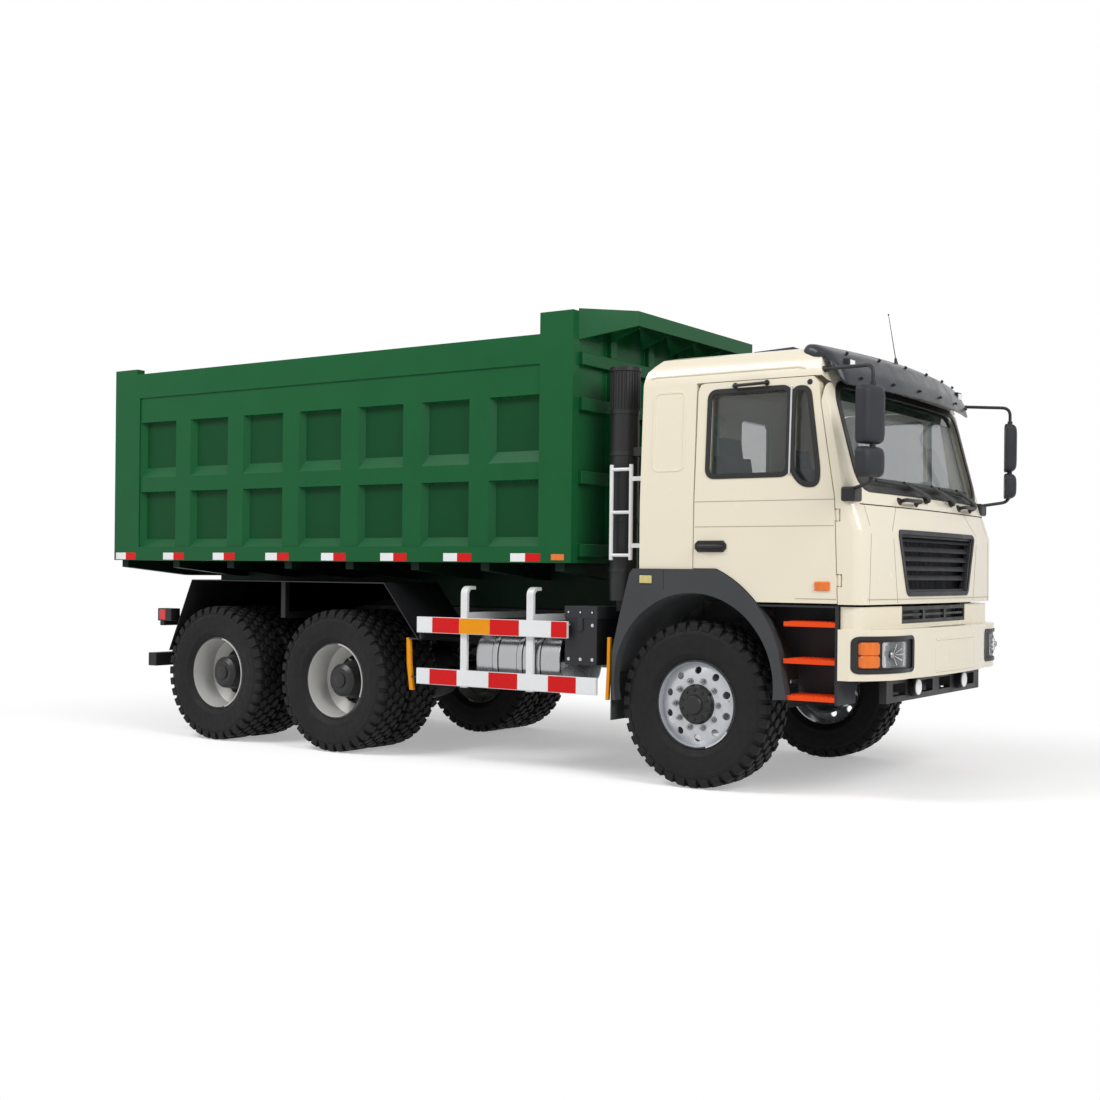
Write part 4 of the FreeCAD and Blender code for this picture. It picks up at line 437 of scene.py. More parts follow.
def strip(sculpt, path, surface, width, thick, gap=0.06, closed=False):
    """A flat band of a width along a path of two surface coordinates, followed in steps of the gap."""
    path = dense(path, gap, closed)
    count = len(path)
    rings = []
    for i, (a, b) in enumerate(path):
        before = path[i - 1] if i or closed else path[i]
        after = path[(i + 1) % count] if closed or i < count - 1 else path[i]
        run = Vector((after[0] - before[0], after[1] - before[1])).normalized()
        off = Vector((-run.y, run.x)) * width / 2
        inner, outer = surface(a - off.x, b - off.y), surface(a + off.x, b + off.y)
        ahead = surface(a + run.x * 0.005, b + run.y * 0.005) - surface(a, b)
        out = ahead.cross(outer - inner).normalized()
        middle = surface(a, b)
        if out.dot(Vector((middle.x - 2.6, middle.y, 0))) < 0:
            out = -out
        rings.append([inner - out * 0.004, outer - out * 0.004, outer + out * thick, inner + out * thick])
    return sculpt.loft(rings, loop=closed)


def dense(path, gap, closed):
    """The same path with points at least this close."""
    out = []
    pairs = list(zip(path, path[1:] + path[:1])) if closed else list(zip(path, path[1:]))
    for (a0, b0), (a1, b1) in pairs:
        steps = max(1, int(math.hypot(a1 - a0, b1 - b0) / gap))
        out.extend((a0 + (a1 - a0) * k / steps, b0 + (b1 - b0) * k / steps) for k in range(steps))
    if not closed:
        out.append(path[-1])
    return out


# Wheels: half a tyre's and a cap's sections are (distance out, radius)
TREAD_ROOT = TYRE_RADIUS - 0.0215
TREAD_PITCHES = 36
DUAL_CENTRE, DUAL_SPACING = 0.907, 0.340
FRONT_Y = 1.018
CARCASS_HALF = [
    (0.112, 0.302), (0.124, 0.315), (0.137, 0.338), (0.1415, 0.343), (0.1435, 0.350), (0.1430, 0.356),
    (0.150, 0.385), (0.1555, 0.420), (0.1568, 0.440), (0.1560, 0.462), (0.1575, 0.468), (0.1570, 0.474),
    (0.1535, 0.486), (0.1480, 0.506), (0.138, 0.526), (0.122, 0.538), (0.070, 0.5415), (0.0, 0.5420)]
SHOULDER = [(0.107, 0.537), (0.109, 0.5590), (0.138, 0.5580), (0.1515, 0.5480), (0.1560, 0.512),
            (0.1530, 0.498), (0.140, 0.520)]
FRONT_CAP = [(0.0, 0.126), (0.022, 0.126), (0.034, 0.118), (0.036, 0.072), (0.058, 0.066), (0.066, 0.058),
             (0.068, 0.0), (0.0, 0.0)]
REAR_CAP = [(0.215, 0.060), (0.236, 0.056), (0.240, 0.046), (0.240, 0.0), (0.215, 0.0)]
BLOCK = [(-1.0, 0.0), (-0.55, 1.0), (0.60, 0.92), (1.0, 0.0), (0.55, -1.0), (-0.60, -0.92)]
RIM_NUTS, NUT_RADIUS = 10, 0.0165
FRONT_BOLT_CIRCLE, REAR_BOLT_CIRCLE = 0.163, 0.178
FRONT_HUB_RADIUS, REAR_HUB_RADIUS = 0.140, 0.157


def tread_point(x, y, angle, radius):
    return (x + radius * math.cos(angle), y, AXLE_Z + radius * math.sin(angle))


def tread_block(sculpt, x, y, angle, half_turn, half_width, lean):
    rings = []
    for radius, size in ((TREAD_ROOT - 0.004, 1.08), (TYRE_RADIUS - 0.003, 0.96), (TYRE_RADIUS, 0.86)):
        rings.append([tread_point(x, y + w * half_width * size, angle + (t + lean * w) * half_turn * size,
                                  radius) for t, w in BLOCK])
    sculpt.loft(rings)


def shoulder_block(sculpt, x, y, way, angle, half_turn):
    rings = []
    for t, shrink in ((-1.0, 0.004), (-0.86, 0.0), (0.86, 0.0), (1.0, 0.004)):
        rings.append([tread_point(x, y + way * w, angle + t * half_turn, r - shrink) for w, r in SHOULDER])
    sculpt.loft(rings)


def tyre(sculpt, x, y):
    profile = [(y - w, r) for w, r in CARCASS_HALF] + [(y + w, r) for w, r in reversed(CARCASS_HALF[:-1])]
    sculpt.lathe_y(profile, x, AXLE_Z, 96)
    pitch = 2 * math.pi / TREAD_PITCHES
    for k in range(TREAD_PITCHES):
        for row, stagger in ((-0.068, 0.5), (0.0, 0.0), (0.068, 0.5)):
            tread_block(sculpt, x, y + row, (k + stagger) * pitch, pitch * 0.40, 0.0300, 0.10)
        shoulder_block(sculpt, x, y, -1, k * pitch, pitch * 0.32)
        shoulder_block(sculpt, x, y, 1, k * pitch, pitch * 0.32)


def ring_of_nuts(sculpt, x, y, way, circle, count, radius, height, turn=0.0, studs=True):
    out = Vector((0, way * height, 0))
    for k in range(count):
        a = 2 * math.pi * (k + turn) / count
        centre = Vector((x + circle * math.cos(a), y, AXLE_Z + circle * math.sin(a)))
        sculpt.rod(centre, out * 0.35, radius * 1.35, 16)
        sculpt.nut(centre, out, radius, height)
        if studs:
            sculpt.rod(centre, out * 1.7, radius * 0.5, 10)


def front_wheel(side, hand):
    body = "front_wheel_" + hand
    rubber, nuts, cap = Sculpt(), Sculpt(), Sculpt()
    tyre(rubber, AXLE_1_X, side * FRONT_Y)
    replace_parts(form("front_tyre_%s_tread" % hand, rubber, RUBBER, body), "front_tyre_" + hand)
    soften("front_rim_" + hand, RIM_SILVER, 0.003, 28, HUB,
           near_axle(AXLE_1_X, FRONT_HUB_RADIUS))
    disc_y = side * (FRONT_Y + 0.099)
    ring_of_nuts(nuts, AXLE_1_X, disc_y, side, FRONT_BOLT_CIRCLE, RIM_NUTS, NUT_RADIUS, 0.026)
    form("front_nuts_" + hand, nuts, NUT_STEEL, body, 0.0015)
    cap.lathe_y([(disc_y + side * w, r) for w, r in FRONT_CAP], AXLE_1_X, AXLE_Z, 48)
    ring_of_nuts(cap, AXLE_1_X, disc_y + side * 0.035, side, 0.098, 10, 0.009, 0.010, 0.5, False)
    form("front_hub_cap_" + hand, cap, HUB, body, 0.002)
    valve = Sculpt().rod((AXLE_1_X + 0.235, disc_y - side * 0.03, AXLE_Z + 0.03), (0.010, side * 0.06, 0.005),
                         0.005, 8)
    form("front_valve_" + hand, valve, BRIGHT, body)


def twin_wheel(name, x, side, hand):
    body, tyres = "%s_wheels_%s" % (name, hand), "%s_tyres_%s" % (name, hand)
    rubber, hub = Sculpt(), Sculpt()
    for way in (-1, 1):
        tyre(rubber, x, side * (DUAL_CENTRE + way * DUAL_SPACING / 2))
    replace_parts(form(tyres + "_tread", rubber, RUBBER, body), tyres)
    soften("%s_rims_%s" % (name, hand), RIM_GREY, 0.003, 28, HUB,
           near_axle(x, REAR_HUB_RADIUS))
    hub_y = side * DUAL_CENTRE
    ring_of_nuts(hub, x, hub_y + side * 0.196, side, 0.112, 8, 0.009, 0.012, 0.25, False)
    ring_of_nuts(hub, x, hub_y + side * 0.012, side, REAR_BOLT_CIRCLE, RIM_NUTS, NUT_RADIUS, 0.030)
    hub.lathe_y([(hub_y + side * w, r) for w, r in REAR_CAP], x, AXLE_Z, 40)
    form("%s_hub_%s" % (name, hand), hub, HUB, body, 0.002)


both(front_wheel)
for axle_name, axle_x in (("mid", AXLE_2_X), ("rear", AXLE_3_X)):
    both(lambda side, hand: twin_wheel(axle_name, axle_x, side, hand))
both(lambda side, hand: soften("knuckle_" + hand, IRON, 0.004))

# Chassis
CHASSIS_NODES = (
    (BLACK, "chassis_black", ("frame_rails", "cross_members")),
    (IRON, "axle_iron", ("engine_block", "front_axle", "rear_axles", "drive_shafts")),
    (DARK, "dark_plastic", ("battery_box",)),
    (BLACK, "chassis_black", ("air_tanks", "rear_bar")),
    (DARK, "dark_plastic", ("rear_mudguards",)),
    (PLASTIC, "dark_plastic", ("step_housings",)),
    (DARK, "dark_plastic", ("front_valance",)),
    (FLARE, "dark_plastic", ("front_fenders",)),
    (DARK, "dark_plastic", ("intake_stack",)),
    (WHITE, "guard_white", ("side_ladder",)),
    (BLACK, "chassis_black", ("hoist_barrel",)),
    (BRIGHT, "hoist_steel", ("hoist_rod",)),
)
for chassis_paint, chassis_slot, chassis_nodes in CHASSIS_NODES:
    for chassis_node in chassis_nodes:
        soften(chassis_node, chassis_paint)

# Amber strips ahead of the rear mudguard and behind the flare: rear edge, front edge, foot, head, lean
AMBER_STRIPS = ((-0.205, -0.165, 0.535, 0.930, -0.035), (1.575, 1.602, 0.559, 0.993, 0.012))
AMBER_OUT = (1.188, 1.212)
# The plates that hold the rear strip to the guard: rear edge, lower face
STAY_PLATES = ((-0.180, 0.630), (-0.203, 0.920))
STAY_PLATE_OUT = (1.178, 1.2225)
STAY_PLATE_FRONT = -0.080


def amber_stays(side, hand):
    stays, plates = Sculpt(), Sculpt()
    y0, y1 = span(side, *AMBER_OUT)
    for x0, x1, z0, z1, lean in AMBER_STRIPS:
        stays.loft([[(x, y, z) for x, y in ((x0 + o, y0), (x1 + o, y0), (x1 + o, y1), (x0 + o, y1))]
                    for z, o in ((z0, 0.0), ((z0 + z1) / 2, lean * 0.8), (z1, lean))])
    form("amber_stays_" + hand, stays, AMBER_TAPE, "chassis", 0.004)
    for x, z in STAY_PLATES:
        plates.slab(side, (x, STAY_PLATE_FRONT), STAY_PLATE_OUT, (z, z + 0.010))
    plates.slab(side, (STAY_PLATE_FRONT - 0.024, STAY_PLATE_FRONT), STAY_PLATE_OUT, (z, z + 0.090))
    form("stay_plates_" + hand, plates, IRON, "chassis", 0.002)


both(amber_stays)

# The intake stack's axis, radius, foot and slats
STACK_X, STACK_Y, STACK_RADIUS = 1.5815, -1.000, 0.100
STACK_Z0, STACK_Z1 = 1.25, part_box("intake_stack")[1][2]
STACK_SLATS = 28


def stack_trim():
    bands, head = Sculpt(), Sculpt()
    for share in (0.12, 0.34, 0.62, 0.80):
        z = STACK_Z0 + share * (STACK_Z1 - STACK_Z0)
        bands.rod((STACK_X, STACK_Y, z), (0, 0, 0.030), STACK_RADIUS + 0.004, 48)
    form("stack_bands", bands, HUB, "chassis", 0.002)
    for k in range(STACK_SLATS):
        a = 2 * math.pi * k / STACK_SLATS
        around = Vector((math.cos(a), math.sin(a), 0)) * (STACK_RADIUS + 0.002)
        head.rod(Vector((STACK_X, STACK_Y, STACK_Z1 - 0.30)) + around, (0, 0, 0.27), 0.006, 6)
    head.rod((STACK_X, STACK_Y, STACK_Z1 - 0.025), (0, 0, 0.029), STACK_RADIUS + 0.010, 48)
    form("stack_head", head, DARK, "chassis", 0.001)


stack_trim()

RAIL_OUT = 0.43
RAIL_BOLTS, RAIL_BOLT_X0, RAIL_BOLT_PITCH = 22, -3.2, 0.30


def rail_bolts():
    bolts = Sculpt()
    for side in (-1, 1):
        for k in range(RAIL_BOLTS):
            for z in (FRAME_Z0 + 0.05, FRAME_Z1 - 0.05):
                spot = (RAIL_BOLT_X0 + k * RAIL_BOLT_PITCH, side * RAIL_OUT, z)
                bolts.nut(spot, (0, side, 0), 0.013, 0.012)
    form("rail_bolts", bolts, BLACK, "chassis")


rail_bolts()

TANK_LO, TANK_HI = map(Vector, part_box("fuel_tank"))
TANK_Y_INNER = -0.610
TANK_CORNER = 0.185
TANK_ENDS = ((0.000, -0.028), (0.004, -0.016), (0.014, -0.008), (0.026, -0.006))
TANK_BAND = ((-0.022, -0.010), (-0.022, -0.001), (-0.019, 0.0), (0.019, 0.0), (0.022, -0.001),
             (0.022, -0.010))
TANK_STRAPS = [TANK_LO.x + share * (TANK_HI.x - TANK_LO.x) for share in (0.25, 0.75, 0.54)]


def tank():
    """A drum with an oval section, dished ends and three bands edged with rubber."""
    def outline(x, grow):
        corners = rectangle((TANK_LO.y - grow, TANK_Y_INNER + grow),
                            (TANK_LO.z + 0.006 - grow, TANK_HI.z - 0.006 + grow))
        return [(x, y, z) for y, z in rounded_loop(corners, TANK_CORNER + grow, 10)]

    shell, bands, edges = Sculpt(), Sculpt(), Sculpt()
    shell.loft([outline(TANK_LO.x + x, grow) for x, grow in TANK_ENDS]
               + [outline(TANK_HI.x - x, grow) for x, grow in reversed(TANK_ENDS)])
    for x in TANK_STRAPS[:2]:
        shell.box((x - 0.035, TANK_Y_INNER - 0.060, TANK_HI.z - 0.136),
                  (x + 0.035, TANK_HI.y, TANK_HI.z - 0.056))
    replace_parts(form("fuel_tank_shell", shell, STEEL, "chassis", angle=50), "fuel_tank")
    for x in TANK_STRAPS:
        bands.loft([outline(x + w, grow) for w, grow in TANK_BAND])
        for way in (-1, 1):
            edges.loft([outline(x + way * w, -0.0025) for w in (0.0215, 0.0270)])
    form("tank_bands", bands, STEEL, "chassis", angle=50)
    form("tank_band_edges", edges, SEAL, "chassis", angle=50)
    neck = Vector((TANK_LO.x + 0.14, -0.98, TANK_HI.z - 0.012))
    rise = Vector((0, -0.012, 0.045))
    cap = Sculpt().rod(neck, rise, 0.062, 32).rod(neck + rise, (0, -0.003, 0.015), 0.050, 32, 0.044)
    form("tank_cap", cap, DARK, "chassis", 0.003)


tank()

BATTERY_LO, BATTERY_HI = map(Vector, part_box("battery_box"))


def battery_trim():
    bolts, lid = Sculpt(), Sculpt()
    face_y, top = BATTERY_LO.y, BATTERY_HI.z
    middle_x = (BATTERY_LO.x + BATTERY_HI.x) / 2
    for x in (BATTERY_LO.x + 0.035, middle_x, BATTERY_HI.x - 0.035):
        for z in (BATTERY_LO.z + 0.04, top - 0.13, top - 0.04):
            bolts.rod((x, face_y + 0.001, z), (0, -0.005, 0), 0.012, 16)
            bolts.nut((x, face_y, z), (0, -1, 0), 0.008, 0.009)
    form("battery_bolts", bolts, BRIGHT, "chassis")
    lid.box((BATTERY_LO.x - 0.004, face_y - 0.004, top - 0.085),
            (BATTERY_HI.x + 0.004, face_y + 0.3, top + 0.003))
    lid.box((middle_x - 0.02, face_y - 0.012, top - 0.17), (middle_x + 0.02, face_y + 0.01, top - 0.08))
    form("battery_lid", lid, PLASTIC, "chassis", 0.005)


battery_trim()

# Side guards with reflecting tape
GUARD_LO, GUARD_HI = map(Vector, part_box("side_guards"))
UPPER_RAIL = (FRAME_Z0 + 0.105, FRAME_Z0 + 0.225)
LOWER_RAIL = (FRAME_Z0 - 0.280, FRAME_Z0 - 0.160)
UPPER_TAPES = (("white", 0.150), ("red", 0.258), ("amber", 0.285), ("red", 0.265), ("white", 0.282),
               ("red", 0.136))
LOWER_TAPES = (("white", 0.128), ("red", 0.262), ("white", 0.296), ("red", 0.262), ("white", 0.270),
               ("red", 0.240), ("white", 0.168))
TAPE_OUT = (GUARD_HI.y - 0.004, GUARD_HI.y + 0.0015)
soften("side_guards", WHITE, 0.004)


def guard_tape(side, hand):
    tapes = {"white": Sculpt(), "red": Sculpt(), "amber": Sculpt()}
    for (z0, z1), lengths in ((UPPER_RAIL, UPPER_TAPES), (LOWER_RAIL, LOWER_TAPES)):
        x = GUARD_LO.x
        for colour, length in lengths:
            tapes[colour].slab(side, (x + 0.001, x + length - 0.001), TAPE_OUT, (z0 + 0.004, z1 - 0.004))
            x += length
    for colour, paint in (("white", WHITE_TAPE), ("red", RED_TAPE), ("amber", AMBER_TAPE)):
        form("guard_tape_%s_%s" % (colour, hand), tapes[colour], paint, "chassis", 0.0005)


both(guard_tape)

# Bed
BED_FLOOR_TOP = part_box("bed_floor")[1][2] - 0.008
for bed_node in ("bed_front", "bed_canopy", "tailgate"):
    soften(bed_node, GREEN, 0.005)


def pocket_back():
    """How far out the backs of the pockets lie: the plane with most area behind the sides' outer face."""
    area = {}
    for face in NODES["bed_sides"].data.polygons:
        y = round(abs(face.center.y), 3)
        if abs(face.normal.y) > 0.99 and face.normal.y * face.center.y > 0 and y < BED_HALF - 0.015:
            area[y] = area.get(y, 0.0) + face.area
    return max(area, key=area.get)


POCKET_Y = pocket_back()
# The backs of the pockets get the darker green: painted shade in the recesses.
soften("bed_sides", GREEN, 0.005, 28, POCKET_SHADE_GREEN,
       lambda point: abs(abs(point.y) - POCKET_Y) < 0.003)
# All but the floor's top face gets the near-black green: painted shade under the bed.
soften("bed_floor", UNDERSIDE_SHADE_GREEN, 0.005, 28, GREEN, lambda point: point.z > BED_FLOOR_TOP)

# White and red reflectors along the foot of the sides, and an amber one at the front
BED_RAIL_Z = (1.512, 1.572)
BED_RAIL_OUT = (BED_HALF - 0.004, BED_HALF + 0.0018)
REFLECTORS = 8
REFLECTOR_X = (BED_X0 + 0.025, BED_X1 - 0.53)
WHITE_END, RED_END = 0.132, 0.265
MARKER_X = (BED_X1 - 0.170, BED_X1 - 0.059)


def bed_reflectors(side, hand):
    white, red = Sculpt(), Sculpt()
    for k in range(REFLECTORS):
        x = REFLECTOR_X[0] + (REFLECTOR_X[1] - REFLECTOR_X[0]) * k / (REFLECTORS - 1)
        white.slab(side, (x, x + WHITE_END), BED_RAIL_OUT, BED_RAIL_Z)
        red.slab(side, (x + WHITE_END, x + RED_END), BED_RAIL_OUT, BED_RAIL_Z)
    marker = Sculpt().slab(side, MARKER_X, BED_RAIL_OUT, (BED_RAIL_Z[0] + 0.012, BED_RAIL_Z[1] - 0.006))
    form("bed_tape_white_" + hand, white, WHITE_TAPE, "bed", 0.0005)
    form("bed_tape_red_" + hand, red, RED_TAPE, "bed", 0.0005)
    form("bed_marker_" + hand, marker, AMBER, "bed", 0.0005)


both(bed_reflectors)

# Plates by the tailgate's latches
GATE_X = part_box("tailgate")[0][0]
LATCH_PLATE = ((GATE_X, GATE_X + 0.02), (0.97, 1.03), (1.60, 1.72))
latch_plates = Sculpt()
for gate_side in (-1, 1):
    latch_plates.slab(gate_side, *LATCH_PLATE)
form("gate_latch_plates", latch_plates, GREEN, "tailgate", 0.004)

# Cab shell
SHELL_NODES = (("cab_body", 0.006), ("cab_roof", 0.006), ("cab_front", 0.008), ("front_bumper", 0.014))
for shell_node, shell_rounding in SHELL_NODES:
    soften(shell_node, CREAM, shell_rounding)
both(lambda side, hand: soften("door_" + hand, CREAM, 0.005))
both(lambda side, hand: soften("door_glass_" + hand, GLASS, 0.0))
soften("windscreen", SCREEN, 0.0)
soften("rear_glass", REAR_GLASS, 0.0)
soften("roof_hatch", PLASTIC, 0.008)
soften("grille", PLASTIC, 0.003, 28, DARK, lambda point: point.z < CAB_Z0)
soften("dashboard", CABIN, 0.006)
soften("step_treads", ORANGE, 0.004)
soften("lamps", DARK, 0.004)

# Doors: edges, corners of the two panes, low crease, painted shade along the creases, handle, plug and marker
# lamp
DOOR_REAR_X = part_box("door_left")[0][0] - 0.005
DOOR_FRONT_X = DOOR_REAR_X + 1.049
WINDOW = [(DOOR_REAR_X + 0.100, BELT_Z + 0.095), (DOOR_REAR_X + 0.687, BELT_Z + 0.095),
          (DOOR_REAR_X + 0.687, SEAM_Z - 0.066), (DOOR_REAR_X + 0.105, SEAM_Z - 0.066)]
QUARTER = [(DOOR_REAR_X + 0.715, BELT_Z + 0.115), (DOOR_REAR_X + 0.795, BELT_Z + 0.025),
           (DOOR_REAR_X + 0.895, BELT_Z + 0.025), (DOOR_REAR_X + 0.900, BELT_Z + 0.115),
           (DOOR_REAR_X + 0.820, SEAM_Z - 0.076), (DOOR_REAR_X + 0.715, SEAM_Z - 0.076)]
LOW_CREASE_X, LOW_CREASE_Z = 3.020, CAB_Z0 + 0.032
CREASE_SIZE = (0.005, 0.0008)
HANDLE_X, HANDLE_Z = 2.405, 1.620
HANDLE_DISH = ((-1, -0.4), (-0.8, -1), (0.8, -1), (1, -0.4), (1, 0.4), (0.8, 1), (-0.8, 1), (-1, 0.4))
HANDLE_GRIP = ((-0.088, 0.006), (-0.070, 0.034), (0.070, 0.034), (0.088, 0.006))
PLUG_X, PLUG_Z = 3.095, 2.665
DOOR_MARKER = ((3.157, 3.262), (1.222, 1.236), (1.340, 1.397))


def door_trim(side, hand):
    body = "door_" + hand
    skin = on_side(side)
    seals, crease_shade_lines, handle = Sculpt(), Sculpt(), Sculpt()
    for outline in (WINDOW, QUARTER):
        strip(seals, rounded_loop(outline, 0.055), skin, 0.034, 0.006, 0.08, True)
    form("window_seals_" + hand, seals, SEAL, body, 0.002)
    x = DOOR_REAR_X + 0.701
    divider = strip(Sculpt(), [(x, BELT_Z + 0.09), (x, SEAM_Z - 0.06)], skin, 0.012, 0.008)
    form("window_divider_" + hand, divider, BRIGHT, body, 0.001)
    # Darker lines along the door's creases: painted shade.
    for z in (BELT_Z - 0.070, BELT_Z - 0.236):
        strip(crease_shade_lines, [(DOOR_REAR_X + 0.012, z), (DOOR_FRONT_X - 0.035, z)], skin, *CREASE_SIZE)
    strip(crease_shade_lines, [(LOW_CREASE_X, LOW_CREASE_Z), (DOOR_FRONT_X - 0.012, LOW_CREASE_Z)], skin, *CREASE_SIZE)
    form("door_crease_shade_lines_" + hand, crease_shade_lines, CREASE_SHADE, body)
    centre = Vector((HANDLE_X, side * side_y(HANDLE_Z), HANDLE_Z))
    handle.loft([[centre + Vector((w * 0.118, side * out, h * 0.038)) for w, h in HANDLE_DISH]
                 for out in (-0.004, 0.010)])
    handle.tube([centre + Vector((x, side * out, 0)) for x, out in HANDLE_GRIP], 0.0125, 14)
    handle.rod(centre - Vector((0.098, 0, 0)), (0, side * 0.020, 0), 0.013, 20)
    form("door_handle_" + hand, handle, DARK, body, 0.003)
    spot = (PLUG_X, side * (side_y(PLUG_Z) - 0.002), PLUG_Z)
    plug = Sculpt().rod(spot, (0, side * 0.010, 0), 0.020, 24, 0.014)
    form("door_plug_" + hand, plug, DARK, body, 0.002)
    form("door_marker_" + hand, Sculpt().slab(side, *DOOR_MARKER), AMBER, body, 0.005)


both(door_trim)

# Cab sides: front end of the drip rail, pressed panel, lens and joint of the flare, ends of the grab
DRIP_END_X = 3.060
SIDE_PANEL_X = (1.945, 2.185)
FLARE_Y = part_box("front_fenders")[1][1]
FLARE_LENS = ((1.867, 1.962), (FLARE_Y - 0.004, FLARE_Y + 0.010), (1.371, 1.424))
FLARE_SEAM = ((2.050, 2.054), (FLARE_Y - 0.003, FLARE_Y + 0.0008), (1.328, 1.466))
GRAB_Y = 1.196
GRAB_ENDS = ((2.560, 2.672), (2.790, 2.678))


def cab_side_trim(side, hand):
    y, z = side * (side_y(SEAM_Z) - 0.006), SEAM_Z + 0.062
    rail = Sculpt().tube([(CAB_X0 + 0.06, y, z - 0.006), (CAB_X0 + 0.10, y, z), (DRIP_END_X - 0.050, y, z),
                          (DRIP_END_X, y, z - 0.012)], 0.0085, 8)
    form("drip_rail_" + hand, rail, CREAM, "chassis", 0.001)
    outline = rounded_loop(rectangle(SIDE_PANEL_X, (BELT_Z + 0.145, SEAM_Z - 0.050)), 0.05)
    bead = strip(Sculpt(), outline, on_side(side), 0.016, 0.004, 0.08, True)
    form("side_panel_bead_" + hand, bead, CREAM, "chassis", 0.002, segments=3)
    form("flare_lens_" + hand, Sculpt().slab(side, *FLARE_LENS), PALE_AMBER, "chassis", 0.005)
    form("flare_seam_" + hand, Sculpt().slab(side, *FLARE_SEAM), SHUT, "chassis")
    a, b = (Vector((x, side * GRAB_Y, z)) for x, z in GRAB_ENDS)
    out = Vector((0, side * 0.030, -0.004))
    grab = Sculpt().tube(rounded_path([a, a + out, b + out, b], 0.022), 0.0105, 14)
    for end in (a, b):
        grab.rod(end - out * 0.1, out * 0.35, 0.020, 20, 0.016)
    form("door_grab_" + hand, grab, DARK, "door_" + hand, 0.001)


both(cab_side_trim)

# Cab front: creases of one half with painted shade along them, grille opening, bars of the radiator
FRONT_CREASES = (((1.120, CAB_Z0 + 0.010), (1.095, BELT_Z - 0.100)),
                 ((0.720, CAB_Z0 + 0.010), (0.800, 1.73), (0.640, BELT_Z - 0.100)))
FRONT_HALF = 1.205
GRILLE_HEAD, GRILLE_FOOT = 0.711, 0.570
GRILLE_Z = (CAB_Z0 + 0.064, CAB_Z0 + 0.468)
CORE_X, CORE_BARS = FACE_X - 0.085, 60


def cab_front_trim():
    skin, behind_glass = on_front(), on_front(-0.026)
    crease_shade_lines = Sculpt()
    outline = rounded_loop(rectangle((-1.090, 1.090), (BELT_Z + 0.008, SEAM_Z - 0.042)), 0.150, 10)
    gasket = strip(Sculpt(), outline, skin, 0.048, 0.008, 0.08, True)
    form("screen_gasket", gasket, SEAL, "chassis", 0.003)
    # Darker lines along the front's creases: painted shade.
    for side in (-1, 1):
        for path in FRONT_CREASES:
            strip(crease_shade_lines, [(side * y, z) for y, z in path], skin, *CREASE_SIZE)
    strip(crease_shade_lines, level(FRONT_HALF, LOW_CREASE_Z), skin, *CREASE_SIZE)
    form("front_crease_shade_lines", crease_shade_lines, CREASE_SHADE, "chassis")
    seam = strip(Sculpt(), level(FRONT_HALF, BELT_Z - 0.098), skin, 0.007, 0.001)
    form("front_seams", seam, SHUT, "chassis")
    low_band = strip(Sculpt(), level(0.980, BELT_Z + 0.052), behind_glass, 0.070, 0.001)
    form("screen_band", low_band, SEAL, "chassis")
    top_band = strip(Sculpt(), level(1.020, SEAM_Z - 0.090), behind_glass, 0.110, 0.001)
    form("screen_shade_band", top_band, SHADE_BAND, "chassis")
    z0, z1 = GRILLE_Z
    outline = [(-GRILLE_FOOT, z0), (GRILLE_FOOT, z0), (GRILLE_HEAD, z1), (-GRILLE_HEAD, z1)]
    surround = strip(Sculpt(), rounded_loop(outline, 0.035), skin, 0.030, 0.007, 0.1, True)
    form("grille_frame", surround, PLASTIC, "chassis", 0.004)
    core = Sculpt().box((CORE_X - 0.010, -GRILLE_HEAD, z0 - 0.03), (CORE_X, GRILLE_HEAD, z1 + 0.03))
    for k in range(CORE_BARS):
        y = -GRILLE_HEAD + 2 * GRILLE_HEAD * (k + 0.5) / CORE_BARS
        core.box((CORE_X - 0.002, y - 0.003, z0 - 0.02), (CORE_X + 0.006, y + 0.003, z1 + 0.02))
    form("radiator_core", core, DARK, "chassis")
    # A dark plate closes the intake opening: painted shade for the space behind it.
    intake = Sculpt().box((NOSE_X - 0.240, -0.58, BUMPER_Z0 + 0.300), (NOSE_X - 0.225, 0.58, CAB_Z0 - 0.02))
    form("intake_shade_plate", intake, DARK, "chassis")


cab_front_trim()

# Wipers: pivot, knee and both ends of the blade, across the truck
WIPERS = ((-0.10, -0.50, -0.93, -0.22), (0.40, -0.02, -0.42, 0.28), (0.93, 0.50, 0.12, 0.72))
PIVOT_Z, KNEE_Z, BLADE_Z = 1.955, 2.055, (2.050, 2.028)
FRONT_GRABS = ((-0.560, -0.290), (0.560, 0.830))
FRONT_GRAB_Z = 1.925


